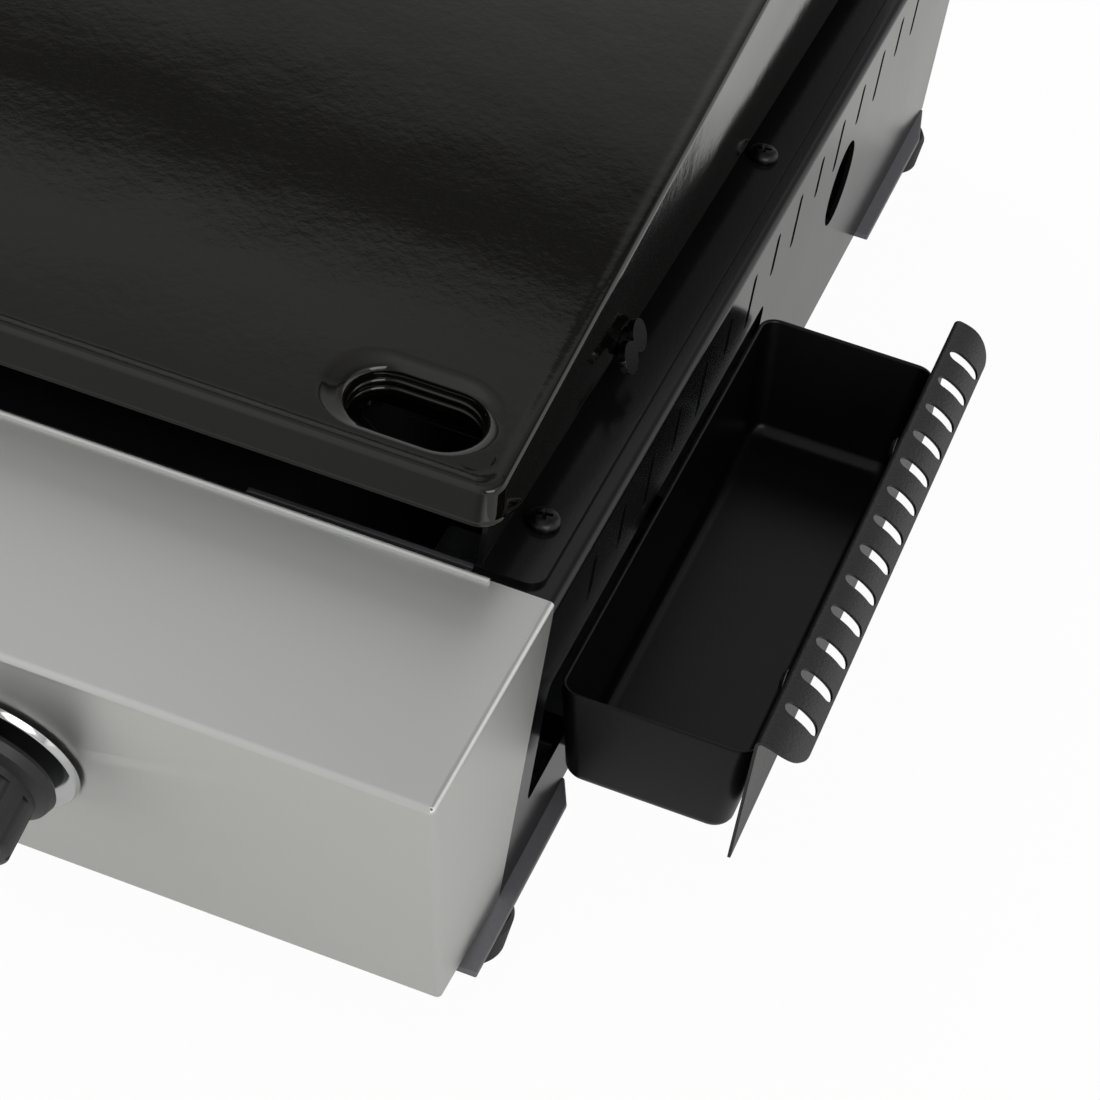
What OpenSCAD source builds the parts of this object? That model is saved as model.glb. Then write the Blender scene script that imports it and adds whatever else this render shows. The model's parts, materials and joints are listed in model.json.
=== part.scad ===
// Table-top gas griddle with a sloping enamelled plate, a front control box
// and a fat drawer that pulls out of its right-hand side.
// X runs to the right, Y to the back and Z up.

/* [Body] */
// Width of the body over its side panels
body_w = 650; // [560:1:760]
// Depth of the side panels
body_d = 471; // [440:1:540]
// Height of the side panels, foot plate to deck
body_h = 105; // [100:1:130]
// Sheet thickness of the body
sheet = 1.5; // [1:0.1:2]
// Outer radius of the fold between deck and side panel
fold_r = 3; // [2:0.5:5]
// Sheet thickness of the back, the inner front wall and the shield
thin = 1.2; // [0.8:0.1:1.5]
// Width of the folded rear flanges that hold the back
rear_flange = 14; // [12:1:20]
// Back screws' distance from the foot plates and the deck
back_screw_in = 13; // [11:0.5:16]
// Diameter of a back screw's head
back_screw_head = 8; // [7:0.5:9]
// Height of the shield above the foot plates
shield_up = 6; // [4:1:12]
// Height of the shield's folded edges
shield_edge = 12; // [8:1:20]

/* [Vents] */
// Spacing of the side slots
vent_pitch = 25.1; // [20:0.1:30]
// First side slot from the panel's front edge
vent_first = 38.8; // [30:0.2:50]
// Width of a side slot
vent_w = 3.6; // [1.5:0.1:4.5]
// Length of a long side slot
vent_long = 20; // [16:0.5:24]
// Length of a short side slot
vent_short = 15.5; // [10:0.5:16]
// Drop from the deck to the top of the slots
vent_drop = 9.7; // [8:0.1:12]
// Diameter of the round hole in the right panel
port_d = 30; // [20:1:36]
// Distance of the round hole from the panel's front edge
port_y = 310; // [280:1:330]
// Drop from the deck to the centre of the round hole
port_drop = 46; // [40:1:60]
// Number of slot columns in the back
back_cols = 16; // [8:2:20]

/* [Deck] */
// Inset of the burner window from each side
window_side = 88; // [84:1:100]
// Inset of the burner window from the front and the back
window_end = 40; // [30:1:60]
// Corner radius of the burner window
window_r = 14; // [6:1:20]
// Width of the drip cut-out under the drain
drip_w = 53; // [50:1:60]
// Front edge of the drip cut-out
drip_front = 8.5; // [7:0.5:12]
// Depth of the drip cut-out
drip_d = 52; // [45:1:60]
// Height of the bead along the front of the deck
bead_h = 1.6; // [1:0.1:2.5]
// Width of the drip chute's flanges under the deck
chute_lip = 6; // [4:0.5:7]

/* [Feet] */
// Height of a rubber foot
foot_h = 14; // [10:1:20]
// Diameter of a rubber foot
foot_d = 27; // [22:0.5:34]
// Inset of a foot's centre from the panel's face
foot_in = 7.5; // [6:0.1:14]
// Front foot's centre in front of the panel
foot_front = 4.3; // [3:0.1:14]
// Rear foot's centre from the back of the panel
foot_back = 17; // [16:1:30]
// Thickness of a foot plate
foot_plate_t = 2; // [1.5:0.5:3]
// Part of the foot plate that shows outside the panel
foot_plate_out = 4.7; // [3:0.1:8]
// Part of the foot plate that lies under the body
foot_plate_in = 32; // [28:1:40]
// Front foot plate's reach in front of the panel
foot_plate_front = 30; // [26:1:34]
// Front foot plate's reach behind the panel's front edge
foot_plate_run = 54; // [40:1:70]
// Length of the rear foot plate
foot_plate_rear = 96; // [60:1:110]

/* [Control box] */
// Depth of the box at its top
box_d = 88; // [80:1:100]
// How far its foot is drawn back
box_lean = 39; // [30:1:45]
// Height of its top above the deck
box_lift = 3.4; // [2:0.2:6]
// Height of its front edge above the foot plates
box_rise = 5; // [3:0.5:10]
// Sheet thickness of the box
box_t = 1.2; // [0.8:0.1:1.5]
// Fold radius at its front edge
box_r = 3; // [2:0.5:5]
// Height of the hem along its back edge
hem_h = 1.2; // [0.8:0.1:3]
// Distance from each end where the hem stops
hem_stop = 18; // [10:1:30]

/* [Griddle plate] */
// Inset of the plate's skirt from each side panel
plate_inset = 20; // [18:0.5:24]
// Depth of the plate
plate_d = 449; // [420:1:460]
// Front of the plate behind the panel's front edge
plate_front = 2.6; // [2:0.1:4]
// Slope of the plate, down to the front
plate_slope = 9; // [2:0.5:10]
// Height of the front rim above the deck
plate_up = 28.7; // [26:0.1:34]
// Thickness of the plate
plate_t = 3; // [2.5:0.5:4]
// Thickness of the skirt
skirt_t = 2.5; // [2:0.1:3]
// Gap between the deck and the front skirt
skirt_front_gap = 16.8; // [14:0.2:18]
// Gap between the deck and the side skirts
skirt_side_gap = 12; // [10:0.2:13]
// Corner radius of the plate
plate_r = 6; // [4:0.5:9]
// Height of the raised rim
rim_h = 1.4; // [0.8:0.2:3]
// Width of the raised rim
rim_w = 4; // [3:0.5:8]

/* [Drain] */
// Length of the drain hole across the plate
drain_l = 38; // [34:1:42]
// Width of the drain hole
drain_w = 22; // [18:1:24]
// Drain's centre from the plate's right edge
drain_x = 31.5; // [30:0.5:36]
// Drain's centre from the plate's front edge
drain_y = 21; // [20:0.5:24]
// Wall of the drain's collar
collar_t = 2; // [1.5:0.5:3]
// Height of the drain's collar below the plate
collar_h = 9; // [6:0.5:10]
// Depth of the round-over at the drain's mouth
mouth_h = 2.2; // [1:0.1:2.4]

/* [Rails] */
// Inset of the rail's outer edge from the panel
rail_edge = 6; // [5:0.5:8]
// Thickness of the rails
rail_t = 1.5; // [1.2:0.1:2]
// Clearance between a rail's upright and the skirt
rail_gap = 0.4; // [0.3:0.1:0.8]
// Front end of the rails
rail_front = 6; // [5.6:0.1:7]
// Rails' clearance to the body's back
rail_back = 6; // [4:0.5:10]
// Corner radius of the rails' flange
rail_r = 5; // [3:0.5:8]
// First rail screw from the panel's front edge
screw_first = 31.4; // [26:0.2:40]
// Last rail screw from the panel's back edge
screw_last = 30.4; // [26:0.2:40]
// Length of a screw's shank
screw_l = 9; // [7:0.5:10]
// Diameter of a rail screw's head
screw_head = 9.8; // [8:0.1:12]
// Height of a rail screw's head
screw_high = 3.2; // [2.5:0.1:4]
// Thumbscrew's distance from the panel's front edge
thumb_y = 103; // [90:1:120]
// Height of the thumbscrew above the deck
thumb_up = 13.4; // [12:0.2:14]
// Height of the notch's round end above the deck
notch_up = 10.6; // [10:0.1:12]
// Radius of the notch over a thumbscrew
notch_r = 7; // [6.5:0.1:8]
// Thread diameter of the thumbscrew
thumb_d = 5; // [4:0.5:5]
// Length of the thumbscrew's two-lobed head
thumb_head = 18.8; // [15:0.2:19]
// Thickness of the thumbscrew's head
thumb_t = 2; // [1.5:0.1:3]
// Tilt of the thumbscrew's head
thumb_tilt = 25; // [0:1:30]

/* [Drawer] */
// Length of the tray along the body
tray_l = 197; // [180:1:205]
// Depth of the tray across the body
tray_w = 56.7; // [50:0.1:60]
// Height of the tray
tray_h = 38.2; // [30:0.2:44]
// Tray's front wall behind the panel's front edge
tray_y = 14.7; // [14:0.1:24]
// Drop from the deck to the tray's rim
tray_drop = 38; // [37:0.5:42]
// How far the tray is drawn out past the panel
tray_out = 1.4; // [1:0.1:3]
// Taper of the tray's long walls
tray_taper_x = 4.2; // [2:0.2:6]
// Taper of the tray's short walls
tray_taper_y = 8; // [4:0.2:10]
// Corner radius of the tray
tray_r = 9; // [6:0.5:12]
// Radius of the fold between the tray's floor and its walls
tray_fold = 4.5; // [3:0.5:8]
// Wall of the tray
tray_t = 1.2; // [1:0.1:2]
// Running clearance between the tray and the panel's opening
tray_gap = 3; // [2:0.5:4]
// Thickness of the handle plate
handle_t = 1.2; // [1:0.1:1.6]
// Handle's reach past the tray at each end
handle_over = 9.15; // [6:0.05:12]
// How far the handle sits behind the tray's middle
handle_shift = 1.75; // [-2:0.05:2]
// Height of the handle's lip above the tray's rim
handle_up = 12.7; // [10:0.1:16]
// Height of the handle plate
handle_h = 43; // [36:0.5:50]
// Radius of the fold at the top of the handle
lip_r = 1.8; // [1.7:0.1:3]
// Radius of the rounded lip
lip_curve = 17; // [14:0.5:22]
// Slope of the lip where it leaves the fold
lip_start = 8; // [4:1:14]
// Slope of the lip at its free edge
lip_stop = 55; // [45:1:65]
// Corner radius of the lip
lip_corner = 9; // [6:0.5:11]
// Number of slots in the lip
lip_slots = 13; // [8:1:13]
// Spacing of the slots in the lip
lip_pitch = 15; // [12:0.1:15]
// Width of a slot in the lip
lip_slot_w = 5; // [3:0.1:6]
// Length of the arms that stay in the guides
arm_l = 48; // [40:1:50]
// Thickness of the arms
arm_t = 2; // [1.5:0.5:2.5]
// Width of the arms' folded edges
arm_w = 9; // [7:1:12]
// Arms' distance from the tray's ends
arm_in = 42; // [38:1:48]
// Play between an arm and its guide
arm_play = 0.6; // [0.4:0.1:1]

/* [Burners] */
// Spacing of the burners and the knobs
burner_pitch = 200; // [180:1:205]
// Diameter of a burner tube
burner_d = 28; // [22:1:32]
// Wall of a burner tube
burner_t = 1.2; // [1:0.1:2]
// Rear end of the burners before the body's back
burner_back = 42; // [36:1:60]
// Number of ports on each side of a burner
burner_ports = 18; // [8:1:24]
// Width of a burner port
port_w = 1.6; // [1:0.1:2.5]
// Height of the bar under the burners' rear ends
bar_h = 26; // [24:1:30]
// Width of the bar's folded edge
bar_w = 16; // [12:1:20]
// Distance of the bar from the burners' rear ends
bar_in = 34; // [28:1:40]

/* [Gas train] */
// Outer diameter of the gas pipe
pipe_d = 16; // [12:1:18]
// Wall of the gas pipe
pipe_t = 1.5; // [1:0.1:2]
// Drop from the valves to the gas pipe
pipe_drop = 26; // [25:0.5:30]
// Bend radius of the gas pipe
pipe_r = 26; // [20:1:34]
// Inset of the supply pipe from the left panel
pipe_in = 30; // [24:1:50]
// Radius of the gas inlet's thread
inlet_r = 6.6; // [6:0.1:9]
// Length of the gas inlet's thread
inlet_l = 14; // [10:1:20]
// Width across the flats of the inlet's nut
inlet_nut = 19; // [17:1:24]
// Radius of a valve stem
stem_r = 3; // [2.5:0.25:4]
// Diameter of a valve's body
valve_d = 20; // [16:1:22]
// Depth of a valve behind the face
valve_in = 34; // [32:1:38]

/* [Knobs] */
// Diameter of a knob's skirt
knob_d = 46; // [38:1:50]
// Height of a knob
knob_h = 24; // [18:1:30]
// Distance of the knobs from the face's upper edge
knob_s = 52; // [46:1:60]
// Diameter of the rings behind the knobs
bezel_d = 54; // [52:1:60]
// Thickness of the rings behind the knobs
bezel_t = 2; // [1:0.5:3]
// Play between a knob and its ring
knob_gap = 2.6; // [2.4:0.1:4]
// Play between a knob's bore and its stem
stem_play = 0.05; // [0.02:0.01:0.08]
// Travel of a knob when it is pushed in
knob_travel = 2; // [1:0.5:2]
// Sideways position of the igniter button
button_x = 100; // [90:1:110]
// Diameter of the igniter button
button_d = 15; // [12:1:18]
// Travel of the igniter button
button_travel = 4; // [3:0.5:5]
// How far the button stands out of its collar
button_out = 6; // [5.5:0.5:8]

/* [Hidden] */
$fn = 48;
e = 0.01;
// the plate rests this close to the rails
rest_gap = 0.02;

// levels of the stack, from the floor up
plate_z = foot_h + foot_plate_t;
deck_z = plate_z + body_h;
half = body_w / 2;
inner = half - sheet;
// control box, in the YZ plane
box_z = deck_z + box_lift;
box_low = plate_z + box_rise;
lean = atan(box_lean / (box_z - box_low));
face_len = norm([box_lean, box_z - box_low]);
// griddle plate
plate_half = half - plate_inset;
plate_z0 = deck_z + plate_up;
tan_s = tan(plate_slope);
// drawer
tray_x = half + tray_out;
tray_z = deck_z - tray_drop;
tray_mid = tray_y + tray_l / 2;
handle_x = tray_x + tray_w;
handle_z = tray_z + handle_up;
handle_l = tray_l + 2 * handle_over;
handle_mid = tray_mid + handle_shift;
// the rounded lip, its centre seen from the centre of the fold
lip_cx = (lip_r - lip_curve) * sin(lip_start);
lip_cz = (lip_r - lip_curve) * cos(lip_start);
lip_end = handle_x + lip_r + lip_cx + lip_curve * sin(lip_stop);
tray_z0 = tray_z - tray_h;
shield_z = plate_z + shield_up + thin;
arm_z = shield_z + sheet + arm_play;
guide_x0 = tray_x - arm_l - (tray_out + tray_w) - 3;
// valves, burners and pipe
valve_y = -box_d + knob_s * sin(lean) + valve_in * cos(lean);
valve_z = box_z - knob_s * cos(lean) + valve_in * sin(lean);
pipe_z = valve_z - pipe_drop;
pipe_x = half - pipe_in;
burner_end = body_d - burner_back;
wall_y = 2;
// the box that holds the whole part, for its origin
knob_front = box_d - knob_s * sin(lean) + (bezel_t + knob_gap + knob_h) * cos(lean)
    + (knob_d / 2 - 8) * sin(lean);
inlet_end = body_d + thin + 7 + inlet_l;
foot_edge = half - foot_in + foot_d / 2;
x_mid = round((lip_end - max(foot_edge, half + foot_plate_out)) * 10) / 20;
y_mid = (inlet_end - knob_front) / 2;

// moves the part so that its origin is under the middle of its box
module seat() translate([-x_mid, -y_mid, 0]) children();
// a rectangle with round corners, from one corner
module round_rect(w, d, r) {
    translate([r, 0]) square([w - 2 * r, d]);
    translate([0, r]) square([w, d - 2 * r]);
    for (x = [r, w - r], y = [r, d - r]) translate([x, y]) circle(r);
}
// a slot with round ends, centred, long in Y
module slot(l, w) {
    translate([-w / 2, -l / 2 + w / 2]) square([w, l - w]);
    for (y = [-1, 1]) translate([0, y * (l - w) / 2]) circle(w / 2);
}
// stands a YZ outline up and draws it along X, centred
module along_x(l) translate([-l / 2, 0, 0]) rotate([90, 0, 90]) linear_extrude(l) children();
// stands an XZ outline up and draws it along Y
module along_y(l) translate([0, l, 0]) rotate([90, 0, 0]) linear_extrude(l) children();
// puts children on the leaning face, their Z axis pointing out of it
module on_face(x, s) translate([x, -box_d + s * sin(lean), box_z - s * cos(lean)])
    rotate([90 + lean, 0, 0]) children();
// mirrors children to the left
module left() mirror([1, 0, 0]) children();

// inverted U of deck and side panels
module shell_outline(w, h, r) {
    translate([-w / 2, 0]) square([w, h - r]);
    translate([-w / 2 + r, 0]) square([w - 2 * r, h]);
    for (x = [-1, 1]) translate([x * (w / 2 - r), h - r]) circle(r);
}

module vent_cuts() {
    count = floor((body_d - vent_first - 50) / vent_pitch) + 1;
    for (i = [0:count - 1]) {
        l = i > 0 && i % 2 == 0 ? vent_long : vent_short;
        translate([0, vent_first + i * vent_pitch, deck_z - vent_drop - l / 2])
            along_x(body_w + 10) slot(l, vent_w);
    }
}

module body() seat() color("#1b1b1c") {
    difference() {
        translate([0, 0, plate_z]) along_y(body_d) difference() {
            shell_outline(body_w, body_h, fold_r);
            translate([0, -1]) shell_outline(body_w - 2 * sheet, body_h - sheet + 1, fold_r - sheet);
        }
        // burner window
        translate([-half + window_side, window_end, deck_z - 10]) linear_extrude(20)
            round_rect(body_w - 2 * window_side, body_d - 2 * window_end, window_r);
        // drip cut-out
        translate([rail_inner() - drip_w, drip_front, deck_z - 10]) linear_extrude(20)
            round_rect(drip_w, drip_d, 6);
        vent_cuts();
        // round hole
        translate([half - 5, port_y, deck_z - port_drop]) rotate([0, 90, 0])
            cylinder(r = port_d / 2, h = 10);
        // drawer opening
        translate([half - 5, tray_y - tray_gap, 0]) rotate([90, 0, 90]) linear_extrude(10)
            translate([0, tray_z - tray_h - tray_gap])
            round_rect(tray_l + 2 * tray_gap, tray_h + 2 * tray_gap - 0.5, 4);
        arm_notches();
        screw_holes();
        left() screw_holes();
    }
    // bead along the deck's front edge
    translate([0, 3.5, deck_z]) along_x(2 * rail_inner() - 4) translate([0, -bead_h / 2])
        intersection() {
            circle(bead_h * 1.2);
            translate([-5, bead_h / 2 - 0.2]) square([10, 10]);
        }
    // rear flanges
    for (s = [-1, 1]) translate([s > 0 ? inner - rear_flange : -inner, body_d - sheet, plate_z])
        difference() {
            cube([rear_flange, sheet, body_h - sheet]);
            for (z = back_screw_z()) translate([rear_flange / 2, -1, z - plate_z])
                rotate([-90, 0, 0]) cylinder(r = 2.2, h = 5);
        }
}
function rail_inner() = plate_half - skirt_t - rail_gap - rail_t;
function rail_outer() = half - rail_edge;
function screw_x() = (rail_inner() + rail_t + rail_outer()) / 2;
function screw_ys() = [for (i = [0:2])
    screw_first + i * (body_d - screw_first - screw_last) / 2];

module screw_holes() for (y = screw_ys()) translate([screw_x(), y, deck_z - 10])
    cylinder(r = 2.75, h = 20);

module back_panel() seat() color("#1d1d1e") difference() {
    translate([-half, body_d, plate_z]) cube([body_w, thin, body_h - fold_r]);
    for (i = [0:back_cols - 1]) translate([(i - (back_cols - 1) / 2) * 26, 0, deck_z - 36])
        translate([0, body_d + 5, 0]) rotate([90, 0, 0]) linear_extrude(10) slot(34, 5);
    translate([-pipe_x, body_d - 5, pipe_z]) rotate([-90, 0, 0])
        cylinder(r = inlet_r + 0.4, h = 12);
    for (x = back_screw_x(), z = back_screw_z()) translate([x, body_d - 5, z])
        rotate([-90, 0, 0]) cylinder(r = 2.2, h = 12);
}
function back_screw_x() = [-inner + rear_flange / 2, inner - rear_flange / 2];
function back_screw_z() = [plate_z + back_screw_in, plate_z + body_h / 2, deck_z - back_screw_in];

// a pan head with a cross recess, its seat at the origin
module pan_head(r, h) difference() {
    intersection() {
        cylinder(r = r, h = h);
        translate([0, 0, h - r * 1.7]) sphere(r = r * 1.7);
    }
    for (a = [0, 90]) rotate([0, 0, a]) translate([-r * 0.5, -0.45, h - 1.4]) cube([r, 0.9, 5]);
}

module back_screws() seat() color("#2a2a2b")
    for (x = back_screw_x(), z = back_screw_z()) translate([x, body_d + thin, z])
        rotate([-90, 0, 0]) {
            pan_head(back_screw_head / 2, screw_high - 0.6);
            translate([0, 0, -screw_l + 1]) cylinder(r = 2, h = screw_l - 1 + e);
        }

module front_wall() seat() color("#1c1c1d") difference() {
    translate([0, wall_y, shield_z]) along_y(thin)
        shell_outline(2 * inner, deck_z - sheet - shield_z, fold_r - sheet + 0.1);
    for (i = [-1:1]) translate([i * burner_pitch, 0, valve_z]) rotate([-90, 0, 0])
        cylinder(r = burner_d / 2 + 1, h = 10);
    translate([-pipe_x, 0, pipe_z]) rotate([-90, 0, 0]) cylinder(r = pipe_d / 2 + 1, h = 10);
}

module bottom_shield() seat() color("#8f9193") {
    front = wall_y;
    back = body_d - sheet;
    difference() {
        translate([-inner, front, plate_z + shield_up]) cube([2 * inner, back - front, thin]);
        for (i = [-1:1], j = [0:4]) translate([i * burner_pitch, 100 + j * 75, plate_z])
            linear_extrude(30) rotate(90) slot(90, 8);
    }
    difference() {
        for (s = [-1, 1]) translate([s > 0 ? inner - thin : -inner, wall_y + thin,
            plate_z + shield_up]) cube([thin, back - wall_y - thin, shield_edge]);
        arm_notches();
    }
}

function arc(cx, cy, r, a0, a1, n) = [for (i = [0:n])
    let (a = a0 + (a1 - a0) * i / n) [cx + r * cos(a), cy + r * sin(a)]];
module control_box() seat() color("#c9c9c7") difference() {
    union() {
        // folded top and front
        along_x(body_w) polygon(concat(
            [[0, box_z]],
            arc(fold_cy(), box_z - box_r, box_r, 90, 180 + lean, 8),
            [[box_lean - box_d, box_low]],
            [[box_lean - box_d + box_t * cos(lean), box_low + box_t * sin(lean)]],
            arc(fold_cy(), box_z - box_r, box_r - box_t, 180 + lean, 90, 8),
            [[0, box_z - box_t]]));
        // end faces
        for (s = [-1, 1]) translate([s * (half - box_t / 2), 0, 0]) along_x(box_t) polygon(concat(
            [[0, box_z]], arc(fold_cy(), box_z - box_r, box_r, 90, 180 + lean, 8),
            [[box_lean - box_d, box_low], [0, plate_z]]));
        // hem along the back edge
        translate([0, -2 * box_t, box_z - e]) along_x(body_w - 2 * hem_stop)
            square([2 * box_t, hem_h + e]);
    }
    for (i = [-1:1]) on_face(i * burner_pitch, knob_s) translate([0, 0, -8])
        cylinder(r = stem_r + 3, h = 20);
    on_face(button_x, knob_s) translate([0, 0, -8]) cylinder(r = button_d / 2 + 1.6, h = 20);
}
// Y of the fold's centre, from the top's and the face's lines
function fold_cy() = -box_d + box_r / tan((90 - lean) / 2);

module foot_plate(front) {
    y0 = front ? -foot_plate_front : body_d - foot_plate_rear;
    y1 = front ? foot_plate_run : body_d;
    cut = front ? 10 : 21;
    x0 = half - foot_plate_in;
    x1 = half + foot_plate_out;
    translate([0, 0, foot_h]) linear_extrude(foot_plate_t)
        polygon([[x0, y0], [x1, y0], [x1, y1 - cut], [half + 0.5, y1], [x0, y1]]);
}
module foot_plate_fr() seat() color("#19191a") foot_plate(true);
module foot_plate_fl() seat() color("#19191a") left() foot_plate(true);
module foot_plate_rr() seat() color("#19191a") foot_plate(false);
module foot_plate_rl() seat() color("#19191a") left() foot_plate(false);

// a rubber foot with a rounded tread and a recess for its screw
module foot(front) {
    y = front ? -foot_front : body_d - foot_back;
    r = foot_d / 2;
    translate([half - foot_in, y, 0]) difference() {
        rotate_extrude() polygon([[3, 5], [3, foot_h], [r - 1, foot_h], [r, foot_h - 2],
            [r - 1.2, 1.6], [r - 3, 0], [6, 0], [6, 5]]);
        for (a = [0:45:315]) rotate([0, 0, a]) translate([r - 5, -0.6, -1]) cube([10, 1.2, 2]);
    }
}
module foot_fr() seat() color("#101010") foot(true);
module foot_fl() seat() color("#101010") left() foot(true);
module foot_rr() seat() color("#101010") foot(false);
module foot_rl() seat() color("#101010") left() foot(false);

// height of the plate's surface plane at a given Y, less a drop
function surf(y, drop) = plate_z0 - drop + (y - plate_front) * tan_s;

module rail() {
    xi = rail_inner();
    len = body_d - rail_back - rail_front;
    // the upright keeps clear of the plate's round inner corners
    up_front = max(rail_front, plate_front + plate_r - 0.8);
    up_end = plate_front + plate_d - skirt_t - 3;
    drop = rim_h + plate_t / cos(plate_slope) + rest_gap;
    difference() {
        union() {
            // flange on the deck, its outer corners round
            translate([xi, rail_front, deck_z]) linear_extrude(rail_t) {
                square([rail_r, len]);
                round_rect(rail_outer() - xi, len, rail_r);
            }
            // upright that carries the plate
            translate([xi + rail_t / 2, 0, 0]) along_x(rail_t) polygon([
                [up_front, deck_z + rail_t - e], [up_end, deck_z + rail_t - e],
                [up_end, surf(up_end, drop)], [up_front, surf(up_front, drop)]]);
        }
        for (y = screw_ys()) translate([screw_x(), y, deck_z - 1]) cylinder(r = 2.75, h = 10);
        translate([xi - 5, thumb_y, deck_z + thumb_up]) rotate([0, 90, 0])
            cylinder(r = thumb_d / 2 + stem_play, h = 10);
    }
}
module rail_right() seat() color("#202021") rail();
module rail_left() seat() color("#202021") left() rail();

module rail_screws() for (y = screw_ys()) translate([screw_x(), y, deck_z + rail_t]) {
    pan_head(screw_head / 2, screw_high);
    translate([0, 0, -screw_l]) cylinder(r = 2.5, h = screw_l + e);
}
module rail_screws_right() seat() color("#2b2b2c") rail_screws();
module rail_screws_left() seat() color("#2b2b2c") left() rail_screws();

// a thumbscrew whose shank runs through the rail's upright, with a flat two-lobed head
module thumbscrew() translate([rail_inner() + rail_t, thumb_y, deck_z + thumb_up]) {
    skirt = skirt_t + rail_gap;
    middle = skirt + 5;
    lobe = thumb_head * 0.255;
    rotate([0, 90, 0]) translate([0, 0, -rail_t - 5])
        cylinder(r = thumb_d / 2, h = rail_t + 5 + middle);
    rotate([0, 90, 0]) translate([0, 0, skirt + 0.6]) cylinder(r = thumb_d / 2 + 1.2, h = 2.6);
    translate([middle, 0, 0]) rotate([0, 90 - thumb_tilt, 0]) rotate([0, 0, 12])
        translate([0, 0, -thumb_t / 2]) linear_extrude(thumb_t) {
            for (s = [-1, 1]) translate([0, s * (thumb_head / 2 - lobe)]) circle(lobe);
            square([lobe, lobe * 1.4], center = true);
        }
}
module thumbscrew_right() seat() color("#6a6b6c") thumbscrew();
module thumbscrew_left() seat() color("#6a6b6c") left() thumbscrew();

// a slot outline across the plate for the drain
module drain_outline(grow) rotate(90) slot(drain_l + 2 * grow, drain_w + 2 * grow);
// the drain's mouth, wider at the top
module drain_mouth(h, grow) {
    r = drain_w / 2;
    s = (drain_l - drain_w) / 2;
    for (x = [-s, s]) translate([x, 0, 0]) cylinder(r1 = r, r2 = r + grow, h = h);
    along_x(2 * s) polygon([[-r, 0], [r, 0], [r + grow, h], [-r - grow, h]]);
}
module below_plane(drop, low) {
    y0 = plate_front - 5;
    y1 = plate_front + plate_d + 5;
    along_x(body_w + 20) polygon([[y0, low], [y1, low], [y1, surf(y1, drop)], [y0, surf(y0, drop)]]);
}
module plate_prism(inset, r) translate([-plate_half + inset, plate_front + inset, deck_z])
    linear_extrude(200) round_rect(2 * (plate_half - inset), plate_d - 2 * inset, r);

module griddle_plate() seat() color("#23231f") difference() {
    union() {
        difference() {
            intersection() {
                plate_prism(0, plate_r);
                below_plane(0, deck_z + skirt_side_gap);
            }
            // the inside, under the plate
            intersection() {
                plate_prism(skirt_t, plate_r - skirt_t);
                below_plane(rim_h + plate_t / cos(plate_slope), deck_z - 1);
            }
            // the sunk cooking surface, its walls square to it
            translate([-plate_half + rim_w, plate_front + rim_w, surf(plate_front + rim_w, rim_h)])
                rotate([plate_slope, 0, 0]) linear_extrude(plate_d * tan_s)
                round_rect(2 * (plate_half - rim_w), (plate_d - 2 * rim_w) / cos(plate_slope), plate_r);
            // shorter skirts at the front and the back
            translate([-plate_half + plate_r, plate_front - 1, deck_z])
                cube([2 * (plate_half - plate_r), skirt_t + 2, skirt_front_gap]);
        }
        // the drain's collar, square to the plate
        at_drain() translate([0, 0, -plate_t - collar_h]) linear_extrude(collar_h + plate_t / 2)
            drain_outline(collar_t);
    }
    at_drain() {
        translate([0, 0, -40]) linear_extrude(60) drain_outline(0);
        translate([0, 0, -mouth_h]) drain_mouth(mouth_h + 0.5, 3);
        translate([0, 0, -plate_t - collar_h - 1]) linear_extrude(collar_h * 0.5 + 1)
            drain_outline(collar_t * 0.4);
    }
    // notches over the thumbscrews
    for (s = [-1, 1]) translate([s * (plate_half - skirt_t / 2), thumb_y, deck_z + notch_up]) {
        rotate([0, 90, 0]) cylinder(r = notch_r, h = skirt_t + 4, center = true);
        translate([0, 0, -10]) cube([skirt_t + 4, 2 * notch_r, 20], center = true);
    }
}
module at_drain() translate([plate_half - drain_x, plate_front + drain_y,
    surf(plate_front + drain_y, rim_h)]) rotate([plate_slope, 0, 0]) children();

// sheet funnel that leads from the deck's cut-out to the drawer
module drip_chute() seat() color("#2a2a2b") {
    x1 = rail_inner();
    x0 = x1 - drip_w;
    ztop = deck_z - sheet;
    zlow = tray_z + 4;
    xlow = x0 + drip_w * 0.58;
    y0 = drip_front;
    // sloping floor and far wall
    translate([0, y0, 0]) along_y(drip_d) polygon([
        [x0 - chute_lip, ztop], [x0 - chute_lip, ztop - thin], [x0 - thin, ztop - thin], [x0 - thin, ztop - chute_lip],
        [xlow, zlow], [xlow, zlow + 2], [x0, ztop - 5], [x0, ztop]]);
    translate([0, y0, 0]) along_y(drip_d) polygon([
        [x1, ztop], [x1, zlow], [x1 + thin, zlow], [x1 + thin, ztop - thin],
        [x1 + chute_lip, ztop - thin], [x1 + chute_lip, ztop]]);
    // cheeks
    for (y = [y0 - thin, y0 + drip_d]) translate([0, y, 0]) along_y(thin) polygon([
        [x0 - thin, ztop], [x1 + thin, ztop], [x1 + thin, zlow], [xlow, zlow],
        [x0 - thin, ztop - chute_lip]]);
}

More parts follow.
